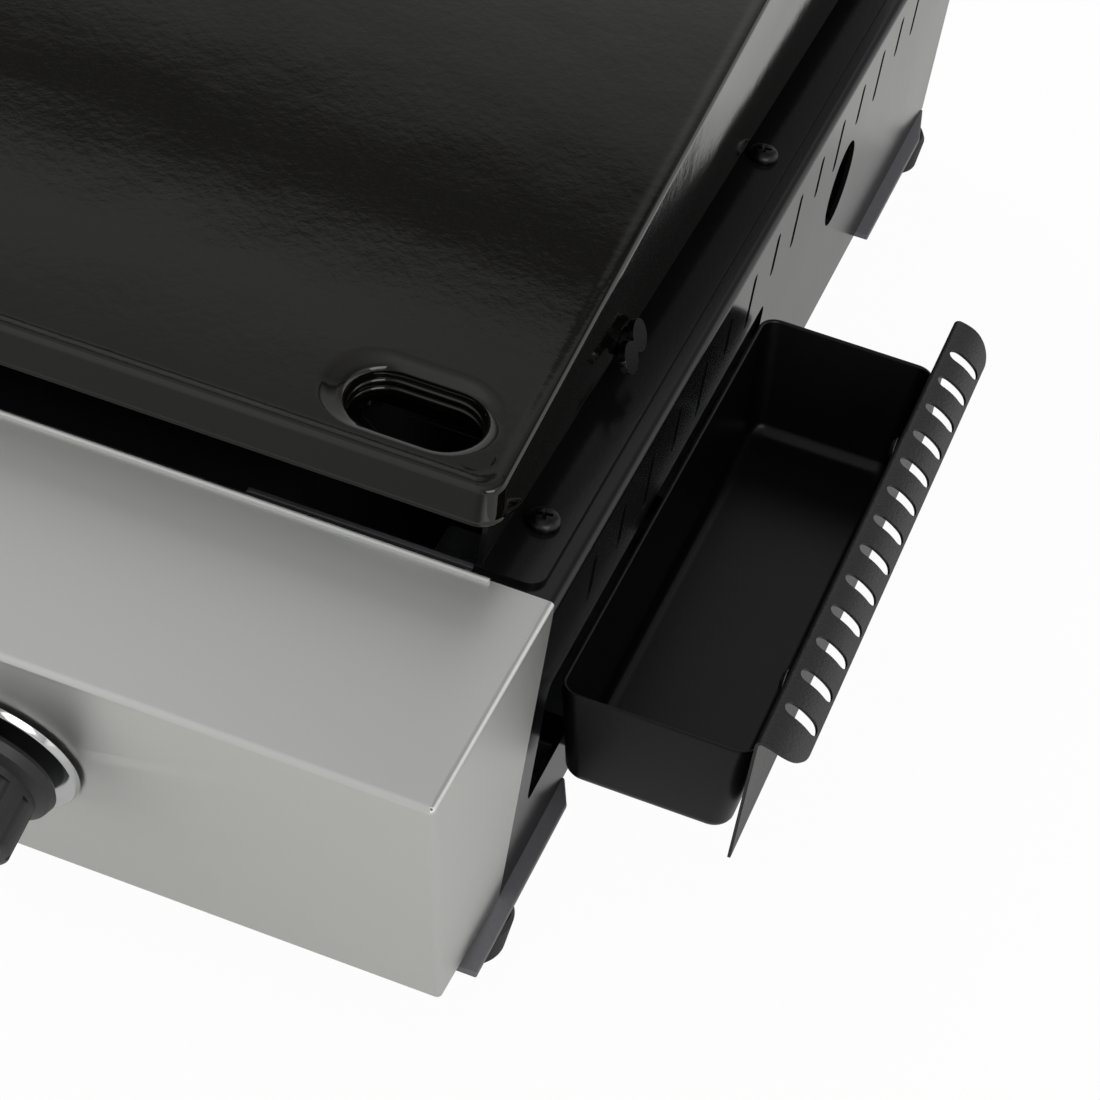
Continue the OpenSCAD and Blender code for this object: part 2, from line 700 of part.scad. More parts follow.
// one ring of a tray's loft, a rounded rectangle at height z, drawn in by dx and dy
function tray_ring(z, dx, dy, r) = let (n = 5, x0 = tray_x + dx, x1 = tray_x + tray_w - dx,
    y0 = tray_y + dy, y1 = tray_y + tray_l - dy) concat(
    [for (i = [0:n]) [x1 - r + r * cos(90 * i / n), y1 - r + r * sin(90 * i / n), z]],
    [for (i = [0:n]) [x0 + r - r * sin(90 * i / n), y1 - r + r * cos(90 * i / n), z]],
    [for (i = [0:n]) [x0 + r - r * cos(90 * i / n), y0 + r - r * sin(90 * i / n), z]],
    [for (i = [0:n]) [x1 - r + r * sin(90 * i / n), y0 + r - r * cos(90 * i / n), z]]);
module loft(rings) {
    m = len(rings[0]);
    k = len(rings);
    polyhedron([for (ring = rings) each ring], concat(
        [[for (j = [0:m - 1]) j]],
        [for (i = [0:k - 2], j = [0:m - 1]) each [
            [(i + 1) * m + j, i * m + (j + 1) % m, i * m + j],
            [(i + 1) * m + j, (i + 1) * m + (j + 1) % m, i * m + (j + 1) % m]]],
        [[for (j = [m - 1:-1:0]) (k - 1) * m + j]]));
}
// taper of the walls at a height above the tray's foot
function taper(full, up) = full * (1 - up / tray_h);
function tray_levels(t, base) = [for (s = [0:3]) let (f = tray_fold - t, a = 90 * s / 3)
    [base + f * (1 - cos(a)), t + f * (1 - sin(a))]];

module drawer_tray() seat() color("#171718") {
    z0 = tray_z - tray_h;
    outer = [for (l = tray_levels(0, 0)) tray_ring(z0 + l[0], l[1] + taper(tray_taper_x, l[0]),
        l[1] + taper(tray_taper_y, l[0]), tray_r)];
    hollow = [for (l = tray_levels(tray_t, tray_t)) tray_ring(z0 + l[0],
        l[1] + taper(tray_taper_x, l[0]), l[1] + taper(tray_taper_y, l[0]), tray_r - tray_t)];
    flip = [for (i = [len(hollow) - 1:-1:0]) hollow[i]];
    difference() {
        loft(concat(outer, [tray_ring(tray_z, 0, 0, tray_r)],
            [tray_ring(tray_z, tray_t, tray_t, tray_r - tray_t)], flip));
        at_rivets() cylinder(r = 2, h = 6);
    }
}

// folded arms under the tray, whose lower edges stay in the guides
module drawer_arms() seat() color("#2c2c2d") at_arms() {
    x0 = tray_x + tray_taper_x + 8;
    x1 = handle_x - tray_taper_x - 8;
    // web, lower where it runs past the tray
    rotate([90, 0, 0]) translate([0, 0, -arm_t]) linear_extrude(arm_t) polygon([
        [tray_x - arm_l, arm_z], [x1, arm_z], [x1, tray_z0], [x0, tray_z0],
        [x0 - 14, arm_z + 9], [tray_x - arm_l, arm_z + 9]]);
    translate([tray_x - arm_l, 0, arm_z]) cube([x1 - tray_x + arm_l, arm_w, arm_t]);
    translate([x0, 0, tray_z0 - arm_t]) cube([x1 - x0, arm_w, arm_t]);
}
// places children at both arms, with Y = 0 at the arm's outer face and Y towards the tray's middle
module at_arms() {
    translate([0, tray_y + arm_in, 0]) children();
    translate([0, tray_y + tray_l - arm_in, 0]) mirror([0, 1, 0]) children();
}
// room for the arms in the panel and in the shield's edge
module arm_notches() at_arms() translate([half - 12, -1, arm_z - arm_play])
    cube([24, arm_w + 2, tray_z0 - tray_gap - arm_z + arm_play + 1]);

// channel on the shield that one arm slides in
module guide() {
    x1 = inner - thin;
    top = arm_z + arm_t + arm_play;
    y1 = arm_w + arm_play;
    translate([guide_x0, 0, 0]) rotate([90, 0, 90]) linear_extrude(x1 - guide_x0) polygon([
        [-1, shield_z], [y1 + sheet, shield_z], [y1 + sheet, top + sheet],
        [arm_t + arm_play, top + sheet], [arm_t + arm_play, top], [y1, top],
        [y1, shield_z + sheet], [-1, shield_z + sheet]]);
}
module guide_front() seat() color("#8f9193") translate([0, tray_y + arm_in, 0]) guide();
module guide_rear() seat() color("#8f9193") translate([0, tray_y + tray_l - arm_in, 0])
    mirror([0, 1, 0]) guide();

// the handle's section, a plate whose top is folded over into a rounded lip
module handle_section() {
    step = (90 + lip_start) / 6;
    cx = handle_x + lip_r;
    cz = handle_z - lip_r;
    polygon(concat(
        [[handle_x, handle_z - handle_h]],
        arc(cx, cz, lip_r, 180, 90 - lip_start + step, 5),
        arc(cx + lip_cx, cz + lip_cz, lip_curve, 90 - lip_start, 90 - lip_stop, 10),
        arc(cx + lip_cx, cz + lip_cz, lip_curve - handle_t, 90 - lip_stop, 90 - lip_start, 10),
        arc(cx, cz, lip_r - handle_t, 90 - lip_start + step, 180, 5),
        [[handle_x + handle_t, handle_z - handle_h]]));
}
// handle plate with a rounded, slotted lip
module drawer_handle() seat() color("#1a1a1b") {
    y0 = handle_mid - handle_l / 2;
    slot_x = handle_x + lip_r + 1.2;
    slot_l = lip_end - 1.8 - slot_x;
    difference() {
        intersection() {
            translate([0, y0, 0]) along_y(handle_l) handle_section();
            // the lip's outer corners are round
            translate([handle_x - 1, y0, handle_z - handle_h - 1]) linear_extrude(handle_h + 2) {
                square([lip_end - handle_x + 1 - lip_corner, handle_l]);
                translate([0, lip_corner])
                    square([lip_end - handle_x + 1, handle_l - 2 * lip_corner]);
                for (y = [lip_corner, handle_l - lip_corner])
                    translate([lip_end - handle_x + 1 - lip_corner, y]) circle(lip_corner);
            }
        }
        for (i = [0:lip_slots - 1]) translate([slot_x, handle_mid
            + (i - (lip_slots - 1) / 2) * lip_pitch - lip_slot_w / 2, handle_z - 12])
            linear_extrude(20) round_rect(slot_l, lip_slot_w, lip_slot_w / 2 - 0.05);
        at_rivets() translate([0, 0, -1]) cylinder(r = 2, h = 10);
    }
}
// places children at the two rivets, their Z axis pointing into the tray
module at_rivets() for (y = [-1, 1]) translate([handle_x + handle_t - 0.1,
    tray_mid + y * tray_l * 0.3, tray_z - 5]) rotate([0, -90, 0]) children();

module drawer_rivets() seat() color("#9a9a98") at_rivets() {
    // through the handle and the tray's leaning wall
    l = handle_t - 0.1 + tray_t + (5 + 4) * tray_taper_x / tray_h;
    cylinder(r = 2, h = l + 0.4);
    translate([0, 0, l + 0.02]) cylinder(r1 = 4, r2 = 2.4, h = 1.4);
}

// a tubular burner along Y with an open mouth, slotted ports and a pinched end
module burner(x) translate([x, 0, valve_z]) {
    r = burner_d / 2;
    t = burner_t;
    l0 = 0.5;
    l1 = burner_end;
    difference() {
        rotate([-90, 0, 0]) rotate_extrude() polygon([
            [r - 3 - t, 40], [r - 3 - t, 26], [r - t + 0.8, l0], [r + 0.8, l0], [r - 3, 26],
            [r - 3, 40], [r, 60], [r, l1 - 8], [r - 5, l1], [0, l1], [0, l1 - t],
            [r - 5 - t * 0.4, l1 - t], [r - t, l1 - 8 - t * 0.6], [r - t, 60]]);
        for (i = [0:burner_ports - 1], s = [-1, 1])
            translate([0, 80 + i * (l1 - 110) / (burner_ports - 1), 0]) rotate([0, s * 50, 0])
            translate([-4, -port_w / 2, r - 4]) cube([8, port_w, 8]);
    }
}
module burner_left() seat() color("#a8a9aa") burner(-burner_pitch);
module burner_mid() seat() color("#a8a9aa") burner(0);
module burner_right() seat() color("#a8a9aa") burner(burner_pitch);

// bar that carries the burners' rear ends, between the side panels
module burner_bar() seat() color("#8f9193") {
    y = burner_end - bar_in;
    top = valve_z - burner_d / 2;
    difference() {
        union() {
            translate([-inner, y, top - bar_h]) cube([2 * inner, thin, bar_h]);
            translate([-inner, y, top - thin]) cube([2 * inner, bar_w, thin]);
            for (s = [-1, 1]) translate([s > 0 ? inner - thin : -inner, y, top - bar_h])
                cube([thin, bar_w, bar_h]);
        }
        translate([-pipe_x, y - 5, pipe_z]) rotate([-90, 0, 0])
            cylinder(r = pipe_d / 2 + 0.5, h = 40);
    }
    for (i = [-1:1]) translate([i * burner_pitch, y, top]) difference() {
        translate([-10, 0, -thin]) cube([20, thin * 1.5, 8]);
        translate([0, -1, burner_d / 2]) rotate([-90, 0, 0]) cylinder(r = burner_d / 2, h = 10);
    }
}

// valve stem, which slides in the valve and carries the knob
module stem(x) on_face(x, knob_s) translate([0, 0, -valve_in + 8])
    cylinder(r = stem_r, h = valve_in - 8 + bezel_t + knob_gap + 14);
module stem_left() seat() color("#9c9ea0") stem(-burner_pitch);
module stem_mid() seat() color("#9c9ea0") stem(0);
module stem_right() seat() color("#9c9ea0") stem(burner_pitch);

// gas valve: barrel square to the face, saddle on the pipe and jet to the burner
module valve(x) difference() {
    union() {
        on_face(x, knob_s) {
            translate([0, 0, -valve_in - 9]) cylinder(r = valve_d / 2, h = valve_in + 1 - box_t);
            translate([0, 0, -box_t - 8]) cylinder(r = valve_d / 2 - 3, h = 8);
        }
        translate([x, valve_y, pipe_z]) cylinder(r = 7, h = pipe_drop - 4);
        translate([x, valve_y, valve_z]) rotate([-90, 0, 0]) {
            cylinder(r = 5.5, h = -valve_y - 6);
            translate([0, 0, -valve_y - 6 - e]) cylinder(r1 = 5.5, r2 = 3, h = 6);
            translate([0, 0, -valve_y - 1]) cylinder(r = 3, h = 8);
        }
    }
    // bore of the stem
    on_face(x, knob_s) translate([0, 0, -valve_in + 8 - knob_travel - 1])
        cylinder(r = stem_r + stem_play, h = valve_in);
    // seat on the pipe
    translate([x - 20, valve_y, pipe_z]) rotate([0, 90, 0]) cylinder(r = pipe_d / 2, h = 40);
}
module valve_left() seat() color("#b49a5a") valve(-burner_pitch);
module valve_mid() seat() color("#b49a5a") valve(0);
module valve_right() seat() color("#b49a5a") valve(burner_pitch);

// pipe under the valves, a bend at its left end, and the run to the back
module gas_pipe() seat() color("#8a8c8e") difference() {
    gas_run(pipe_d / 2, 0);
    gas_run(pipe_d / 2 - pipe_t, 1);
    for (i = [-1:1]) translate([i * burner_pitch, valve_y, pipe_z]) cylinder(r = 3, h = 20);
}
module gas_run(r, more) {
    xr = burner_pitch + 18;
    xl = -pipe_x + pipe_r;
    translate([xl, valve_y, pipe_z]) rotate([0, 90, 0]) cylinder(r = r, h = xr - xl - 3 * more);
    translate([-pipe_x + pipe_r, valve_y + pipe_r, pipe_z]) rotate([0, 0, 180])
        rotate_extrude(angle = 90) translate([pipe_r, 0]) circle(r);
    translate([-pipe_x, valve_y + pipe_r, pipe_z]) rotate([-90, 0, 0])
        cylinder(r = r, h = body_d - 12 - valve_y - pipe_r + more);
}

// hexagon and thread of the gas inlet, through the back
module gas_inlet() seat() color("#b8a060") translate([-pipe_x, body_d, pipe_z])
    rotate([-90, 0, 0]) difference() {
        union() {
            translate([0, 0, -12]) cylinder(r = pipe_d / 2, h = 12);
            translate([0, 0, -1]) cylinder(r = inlet_r, h = 8 + thin + inlet_l);
            translate([0, 0, thin]) cylinder(d = inlet_nut / cos(30), h = 7, $fn = 6);
        }
        translate([0, 0, -20]) cylinder(r = inlet_r - 2.2, h = 60);
    }

// knob with a skirt, a tapered grip, a bar and a blind bore for the stem
module knob() translate([0, 0, bezel_t + knob_gap]) difference() {
    union() {
        rotate_extrude() polygon([[0, 0], [knob_d / 2 - 1, 0], [knob_d / 2, 1.5],
            [knob_d / 2 - 1, 4], [knob_d / 2 - 4, 5.5], [knob_d / 2 - 4, knob_h - 4],
            [knob_d / 2 - 5.5, knob_h - 2.5], [0, knob_h - 2.5]]);
        translate([-3, -knob_d / 2 + 8, knob_h - 4]) cube([6, knob_d - 16, 4]);
    }
    translate([0, 0, -1]) cylinder(r = stem_r + stem_play, h = 16);
    // finger flutes
    for (a = [15:30:345]) rotate([0, 0, a]) translate([knob_d / 2 - 2.4, 0, 7.5])
        cylinder(r = 2.6, h = knob_h);
}
module knob_at(x) seat() color("#1f1f20") on_face(x, knob_s) knob();
module knob_left() knob_at(-burner_pitch);
module knob_mid() knob_at(0);
module knob_right() knob_at(burner_pitch);

module bezel_at(x) seat() color("#a9aaab") on_face(x, knob_s) rotate_extrude() polygon([
    [stem_r + 3, 0], [bezel_d / 2, 0], [bezel_d / 2 - 0.8, bezel_t], [stem_r + 3, bezel_t]]);
module bezel_left() bezel_at(-burner_pitch);
module bezel_mid() bezel_at(0);
module bezel_right() bezel_at(burner_pitch);

// push button of the igniter, in its collar
module igniter_button() seat() color("#1a1a1b") on_face(button_x, knob_s) rotate_extrude()
    polygon([[0, -22], [button_d / 2 - 2, -22], [button_d / 2 - 2, -6], [button_d / 2, -6],
        [button_d / 2, 3 + button_out - 1.5], [button_d / 2 - 1.5, 3 + button_out],
        [0, 3 + button_out - 1]]);
module igniter_collar() seat() color("#2a2a2b") on_face(button_x, knob_s) {
    r = button_d / 2 + stem_play;
    rotate_extrude() polygon([[r, -6], [r, 3], [r + 3.5, 3], [r + 4.5, 2], [r + 4.5, 0],
        [r + 1.5, 0], [r + 1.5, -34], [0, -34], [0, -32], [r - 1, -32], [r - 1, -11.5],
        [r, -11.5]]);
}

// spark electrode on a clip beside a burner
module electrode(x) translate([x + burner_d / 2, 70, valve_z]) {
    translate([0, -6, -4]) cube([9, 12, 1.2]);
    translate([0, -6, -4]) cube([1.2, 12, 8]);
    translate([5, 0, -14]) cylinder(r = 2.6, h = 34);
    translate([5, 0, 18]) cylinder(r = 0.7, h = 8);
}
module electrode_left() seat() color("#e6e2d8") electrode(-burner_pitch);
module electrode_mid() seat() color("#e6e2d8") electrode(0);
module electrode_right() seat() color("#e6e2d8") electrode(burner_pitch);

body();
back_panel();
back_screws();
front_wall();
bottom_shield();
control_box();
foot_plate_fr();
foot_plate_fl();
foot_plate_rr();
foot_plate_rl();
foot_fr();
foot_fl();
foot_rr();
foot_rl();
rail_right();
rail_left();
rail_screws_right();
rail_screws_left();
thumbscrew_right();
thumbscrew_left();
griddle_plate();
drip_chute();
drawer_tray();
drawer_arms();
drawer_handle();
drawer_rivets();
guide_front();
guide_rear();
burner_left();
burner_mid();
burner_right();
burner_bar();
valve_left();
valve_mid();
valve_right();
gas_pipe();
gas_inlet();
knob_left();
knob_mid();
knob_right();
bezel_left();
bezel_mid();
bezel_right();
stem_left();
stem_mid();
stem_right();
igniter_button();
igniter_collar();
electrode_left();
electrode_mid();
electrode_right();
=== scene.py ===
"""Looks of a table-top gas griddle: enamelled plate, brushed control box and fat drawer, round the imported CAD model."""

import json
import math

import bmesh
import bpy
from mathutils import Matrix, Vector


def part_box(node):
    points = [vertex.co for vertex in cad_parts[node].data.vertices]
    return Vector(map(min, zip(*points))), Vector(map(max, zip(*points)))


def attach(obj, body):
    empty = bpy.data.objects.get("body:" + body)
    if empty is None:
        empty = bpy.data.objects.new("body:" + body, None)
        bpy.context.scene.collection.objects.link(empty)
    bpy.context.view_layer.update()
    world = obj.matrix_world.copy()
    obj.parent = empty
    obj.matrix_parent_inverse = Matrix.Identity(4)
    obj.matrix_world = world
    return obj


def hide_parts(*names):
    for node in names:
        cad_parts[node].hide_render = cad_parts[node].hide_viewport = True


bl_info = {
    "name": "Gas Griddle",
    "version": (1, 0, 0),
    "blender": (4, 5, 0),
    "location": "View3D > Sidebar > Griddle",
    "description": "Makes the enamelled plate, steel box, fat drawer and fasteners of a gas griddle",
    "category": "Object",
}

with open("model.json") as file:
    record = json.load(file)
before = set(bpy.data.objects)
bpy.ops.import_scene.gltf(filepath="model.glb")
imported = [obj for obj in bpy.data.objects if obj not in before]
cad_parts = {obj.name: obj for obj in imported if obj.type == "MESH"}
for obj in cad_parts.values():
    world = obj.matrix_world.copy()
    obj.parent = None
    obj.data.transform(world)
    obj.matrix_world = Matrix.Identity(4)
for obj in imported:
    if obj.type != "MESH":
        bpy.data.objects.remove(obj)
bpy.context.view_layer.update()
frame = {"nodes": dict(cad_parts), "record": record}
MM = 0.001

# Fixed places of the griddle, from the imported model
SHELL_LOW, SHELL_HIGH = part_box("body")
PLATE_LOW, PLATE_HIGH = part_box("griddle_plate")
TRAY_LOW, TRAY_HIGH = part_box("drawer_tray")
BOX_LOW, BOX_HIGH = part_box("control_box")
MID_X = (SHELL_LOW.x + SHELL_HIGH.x) / 2
DECK_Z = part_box("rail_right")[0].z


def linear(hex_colour):
    """Linear colour of an sRGB hex value."""
    parts = [int(hex_colour[i : i + 2], 16) / 255 for i in (0, 2, 4)]
    curve = [c / 12.92 if c <= 0.04045 else ((c + 0.055) / 1.055) ** 2.4 for c in parts]
    return (*curve, 1.0)


def per_metre(size_mm):
    """Texture scale whose grain has the given size."""
    return 1.0 / (size_mm * MM)


def shade(colour, factor):
    """A colour made darker or lighter by a factor."""
    return (*(min(part * factor, 1.0) for part in colour[:3]), 1.0)


def add(tree, kind, inputs=None, **settings):
    """Adds a node. An input is a value, a socket that it is linked from, or a node whose first output it takes."""
    made = tree.nodes.new(kind)
    for key, value in settings.items():
        setattr(made, key, value)
    for key, value in (inputs or {}).items():
        if isinstance(value, bpy.types.Node):
            value = value.outputs[0]
        if isinstance(value, bpy.types.NodeSocket):
            tree.links.new(value, made.inputs[key])
        else:
            made.inputs[key].default_value = value
    return made


def blank(name):
    """A material with an empty tree, and the object coordinates that its pattern reads."""
    material = bpy.data.materials.new(name)
    material.use_nodes = True
    tree = material.node_tree
    tree.nodes.clear()
    return material, tree, add(tree, "ShaderNodeTexCoord").outputs["Object"]


def satin_powder_coat():
    """Polyester powder coat, baked satin: faint orange peel and an even, soft sheen."""
    colour = bpy.context.scene.griddle_finishes.coat
    material, tree, place = blank("satin_powder_coat")
    peel = add(tree, "ShaderNodeTexNoise", {"Vector": place, "Scale": per_metre(1.1), "Detail": 3.0})
    cloud = add(tree, "ShaderNodeTexNoise", {"Vector": place, "Scale": per_metre(45), "Detail": 4.0})
    tint = add(tree, "ShaderNodeMix", {0: cloud, 6: shade(colour, 2.3), 7: shade(colour, 3.1)}, data_type="RGBA")
    rough = add(tree, "ShaderNodeMapRange", {"Value": cloud, "To Min": 0.15, "To Max": 0.21})
    bump = add(tree, "ShaderNodeBump", {"Height": peel, "Strength": 0.10, "Distance": 0.0002})
    inputs = {"Base Color": tint.outputs[2], "Roughness": rough, "Normal": bump, "Specular IOR Level": 0.2}
    shader = add(tree, "ShaderNodeBsdfPrincipled", inputs)
    add(tree, "ShaderNodeOutputMaterial", {"Surface": shader})
    return material


def textured_powder_coat():
    """Powder coat with a fine leathery texture, as on a bent handle plate."""
    colour = bpy.context.scene.griddle_finishes.coat
    material, tree, place = blank("textured_powder_coat")
    scale = {"Vector": place, "Scale": per_metre(0.8), "Randomness": 1.0}
    skin = add(tree, "ShaderNodeTexVoronoi", scale, feature="SMOOTH_F1")
    grain = add(tree, "ShaderNodeTexNoise", {"Vector": place, "Scale": per_metre(0.5), "Detail": 4.0})
    both = add(tree, "ShaderNodeMath", {0: skin, 1: grain}, operation="ADD")
    tint = add(tree, "ShaderNodeMix", {0: grain, 6: shade(colour, 2.6), 7: shade(colour, 4.0)}, data_type="RGBA")
    rough = add(tree, "ShaderNodeMapRange", {"Value": grain, "To Min": 0.36, "To Max": 0.5})
    bump = add(tree, "ShaderNodeBump", {"Height": both, "Strength": 0.35, "Distance": 0.0003})
    inputs = {"Base Color": tint.outputs[2], "Roughness": rough, "Normal": bump}
    shader = add(tree, "ShaderNodeBsdfPrincipled", inputs)
    add(tree, "ShaderNodeOutputMaterial", {"Surface": shader})
    return material


def matt_tray_coat():
    """Smooth matt coat of a pressed tray, a little greyer where it is rubbed."""
    colour = bpy.context.scene.griddle_finishes.coat
    material, tree, place = blank("matt_tray_coat")
    fine = add(tree, "ShaderNodeTexNoise", {"Vector": place, "Scale": per_metre(0.8), "Detail": 3.0})
    rubbed = add(tree, "ShaderNodeTexNoise", {"Vector": place, "Scale": per_metre(38), "Detail": 5.0})
    tint = add(tree, "ShaderNodeMix", {0: rubbed, 6: shade(colour, 0.6), 7: shade(colour, 1.0)}, data_type="RGBA")
    rough = add(tree, "ShaderNodeMapRange", {"Value": rubbed, "To Min": 0.27, "To Max": 0.36})
    bump = add(tree, "ShaderNodeBump", {"Height": fine, "Strength": 0.10, "Distance": 0.0002})
    inputs = {"Base Color": tint.outputs[2], "Roughness": rough, "Normal": bump, "Specular IOR Level": 0.22}
    shader = add(tree, "ShaderNodeBsdfPrincipled", inputs)
    add(tree, "ShaderNodeOutputMaterial", {"Surface": shader})
    return material


def vitreous_enamel():
    """Glass enamel fired on steel: deep gloss, warm black, and a slow wave from the sheet under it."""
    colour = bpy.context.scene.griddle_finishes.enamel
    material, tree, place = blank("vitreous_enamel")
    wave = add(tree, "ShaderNodeTexNoise", {"Vector": place, "Scale": per_metre(60), "Detail": 2.0})
    orange = {"Vector": place, "Scale": per_metre(3.4), "Detail": 4.0, "Roughness": 0.6}
    peel = add(tree, "ShaderNodeTexNoise", orange)
    speck = add(tree, "ShaderNodeTexNoise", {"Vector": place, "Scale": per_metre(0.5), "Detail": 1.0})
    tint = add(tree, "ShaderNodeMix", {0: wave, 6: shade(colour, 0.8), 7: shade(colour, 1.25)}, data_type="RGBA")
    rough = add(tree, "ShaderNodeMapRange", {"Value": speck, "To Min": 0.045, "To Max": 0.075})
    slow = add(tree, "ShaderNodeBump", {"Height": wave, "Strength": 0.15, "Distance": 0.0012})
    quick = add(tree, "ShaderNodeBump", {"Height": peel, "Strength": 0.05, "Distance": 0.0004, "Normal": slow})
    inputs = {"Base Color": tint.outputs[2], "Roughness": rough, "Normal": quick}
    shader = add(tree, "ShaderNodeBsdfPrincipled", inputs)
    add(tree, "ShaderNodeOutputMaterial", {"Surface": shader})
    return material


def brushed_stainless():
    """Stainless sheet brushed along its length, drawn with strokes about 0.5 mm apart so that they show."""
    colour = bpy.context.scene.griddle_finishes.steel
    material, tree, place = blank("brushed_stainless")
    long_way = {"Vector": place, "Scale": (per_metre(90), per_metre(0.5), per_metre(0.5))}
    short_way = {"Vector": place, "Scale": (per_metre(22), per_metre(0.22), per_metre(0.22))}
    long_strokes = add(tree, "ShaderNodeMapping", long_way)
    short_strokes = add(tree, "ShaderNodeMapping", short_way)
    coarse = add(tree, "ShaderNodeTexNoise", {"Vector": long_strokes, "Scale": 1.0, "Detail": 3.0})
    fine = add(tree, "ShaderNodeTexNoise", {"Vector": short_strokes, "Scale": 1.0, "Detail": 2.0})
    cloud = add(tree, "ShaderNodeTexNoise", {"Vector": place, "Scale": per_metre(70), "Detail": 2.0})
    mixed = add(tree, "ShaderNodeMath", {0: coarse, 1: cloud}, operation="MULTIPLY")
    tint = add(tree, "ShaderNodeMix", {0: mixed, 6: shade(colour, 0.98), 7: shade(colour, 1.03)}, data_type="RGBA")
    rough = add(tree, "ShaderNodeMapRange", {"Value": fine, "To Min": 0.42, "To Max": 0.46})
    across = add(tree, "ShaderNodeCombineXYZ", {"X": 0.05, "Y": 1.0, "Z": 0.3})
    bump = add(tree, "ShaderNodeBump", {"Height": fine, "Strength": 0.025, "Distance": 0.0001})
    inputs = {
        "Base Color": tint.outputs[2],
        "Metallic": 1.0,
        "Roughness": rough,
        "Anisotropic": 0.85,
        "Tangent": across,
        "Normal": bump,
    }
    shader = add(tree, "ShaderNodeBsdfPrincipled", inputs)
    add(tree, "ShaderNodeOutputMaterial", {"Surface": shader})
    return material


def plain_metal(name, dark, light, rough, grain_mm, bump_depth=0.1, glancing="ffffff"):
    """Bare or plated metal with mottling of one grain size, and its colour at a glancing angle."""
    material, tree, place = blank(name)
    mottle = add(tree, "ShaderNodeTexNoise", {"Vector": place, "Scale": per_metre(grain_mm), "Detail": 5.0})
    tint = add(tree, "ShaderNodeMix", {0: mottle, 6: linear(dark), 7: linear(light)}, data_type="RGBA")
    spread = add(tree, "ShaderNodeMapRange", {"Value": mottle, "To Min": rough - 0.07, "To Max": rough + 0.07})
    bump = add(tree, "ShaderNodeBump", {"Height": mottle, "Strength": bump_depth, "Distance": 0.0002})
    inputs = {"Base Color": tint.outputs[2], "Metallic": 1.0, "Roughness": spread, "Normal": bump}
    inputs["Specular Tint"] = linear(glancing)
    shader = add(tree, "ShaderNodeBsdfPrincipled", inputs)
    add(tree, "ShaderNodeOutputMaterial", {"Surface": shader})
    return material


def moulded(name, dark, light, rough, grain_mm):
    """Moulded plastic, rubber or ceramic with a fine spark-eroded or pressed grain."""
    material, tree, place = blank(name)
    grain = add(tree, "ShaderNodeTexNoise", {"Vector": place, "Scale": per_metre(grain_mm), "Detail": 4.0})
    tint = add(tree, "ShaderNodeMix", {0: grain, 6: linear(dark), 7: linear(light)}, data_type="RGBA")
    spread = add(tree, "ShaderNodeMapRange", {"Value": grain, "To Min": rough - 0.05, "To Max": rough + 0.06})
    bump = add(tree, "ShaderNodeBump", {"Height": grain, "Strength": 0.15, "Distance": 0.0002})
    inputs = {"Base Color": tint.outputs[2], "Roughness": spread, "Normal": bump}
    shader = add(tree, "ShaderNodeBsdfPrincipled", inputs)
    add(tree, "ShaderNodeOutputMaterial", {"Surface": shader})
    return material


# What each material slot of the record is made of
FINISHES = {
    "powder_black": satin_powder_coat,
    "drawer_black": textured_powder_coat,
    "stainless": brushed_stainless,
    "plate_enamel": vitreous_enamel,
    # hot-dip galvanised sheet, whose spangles are a few millimetres across
    "galvanised": lambda: plain_metal("galvanised_sheet", "7d8183", "a3a7a9", 0.42, 6.0),
    # foot plates in a flat grey, greyer than the coat beside them: a lighter sheet, painted lighter still as a stand-in
    # for the bright panel and room that it mirrors
    "foot_grey_and_reflection": lambda: moulded("primed_steel", "6e6e71", "7c7c80", 0.5, 2.0),
    # aluminised steel tube
    "burner_steel": lambda: plain_metal("aluminised_steel", "8f9091", "aeb0b1", 0.40, 2.0),
    # turned brass, slightly dulled
    "brass": lambda: plain_metal("turned_brass", "9a7f3f", "c2a55e", 0.30, 1.5),
    "pipe_steel": lambda: plain_metal("drawn_steel", "7b7d7f", "98999b", 0.34, 3.0),
    "bezel_metal": lambda: plain_metal("polished_chrome", "c2c3c4", "d2d3d4", 0.14, 8.0, 0.02),
    "knob_plastic": lambda: moulded("glass_filled_nylon", "151516", "202021", 0.48, 0.5),
    "ceramic": lambda: moulded("steatite_ceramic", "d9d4c7", "ebe7dd", 0.28, 1.2),
    "rivet_steel": lambda: plain_metal("rivet_aluminium", "8d8d8c", "a8a8a7", 0.36, 1.0),
    "screw_black": lambda: plain_metal("black_zinc_screw", "242425", "3a3a3b", 0.34, 0.9, 0.2),
    "thumb_steel": lambda: plain_metal("black_zinc_casting", "161617", "262627", 0.27, 1.2, 0.2, "c8c8c8"),
    # light metal on the rims of the thumbscrews' lobes: a painted highlight for the glint that their edges catch
    "painted_rim_highlight": lambda: plain_metal("painted_rim_highlight_metal", "9a9b9c", "c6c7c8", 0.24, 1.2),
    # coat of the ribbed strip, duller than the deck's, and painted a lighter grey for the light that the ribs catch
    "rib_coat_painted_light": lambda: moulded("dull_rib_coat_painted_light", "303032", "3c3c3e", 0.45, 2.0),
    "rubber": lambda: moulded("nitrile_rubber", "0e0e0e", "181818", 0.62, 0.6),
}
made_finishes = {}


def finish_of(slot):
    """The material of a slot, made once."""
    if slot not in made_finishes:
        made_finishes[slot] = FINISHES[slot]()
    return made_finishes[slot]


def body_of_node(node):
    """Name of the body that a CAD node belongs to."""
    bodies = frame["record"]["behaviour"]["bodies"]
    return next(body for body, nodes in bodies.items() if node in nodes)


def slot_of_node(node):
    """Material slot of a CAD node in the record."""
    return next(s["material_slot"] for s in frame["record"]["subparts"] if s["node"] == node)


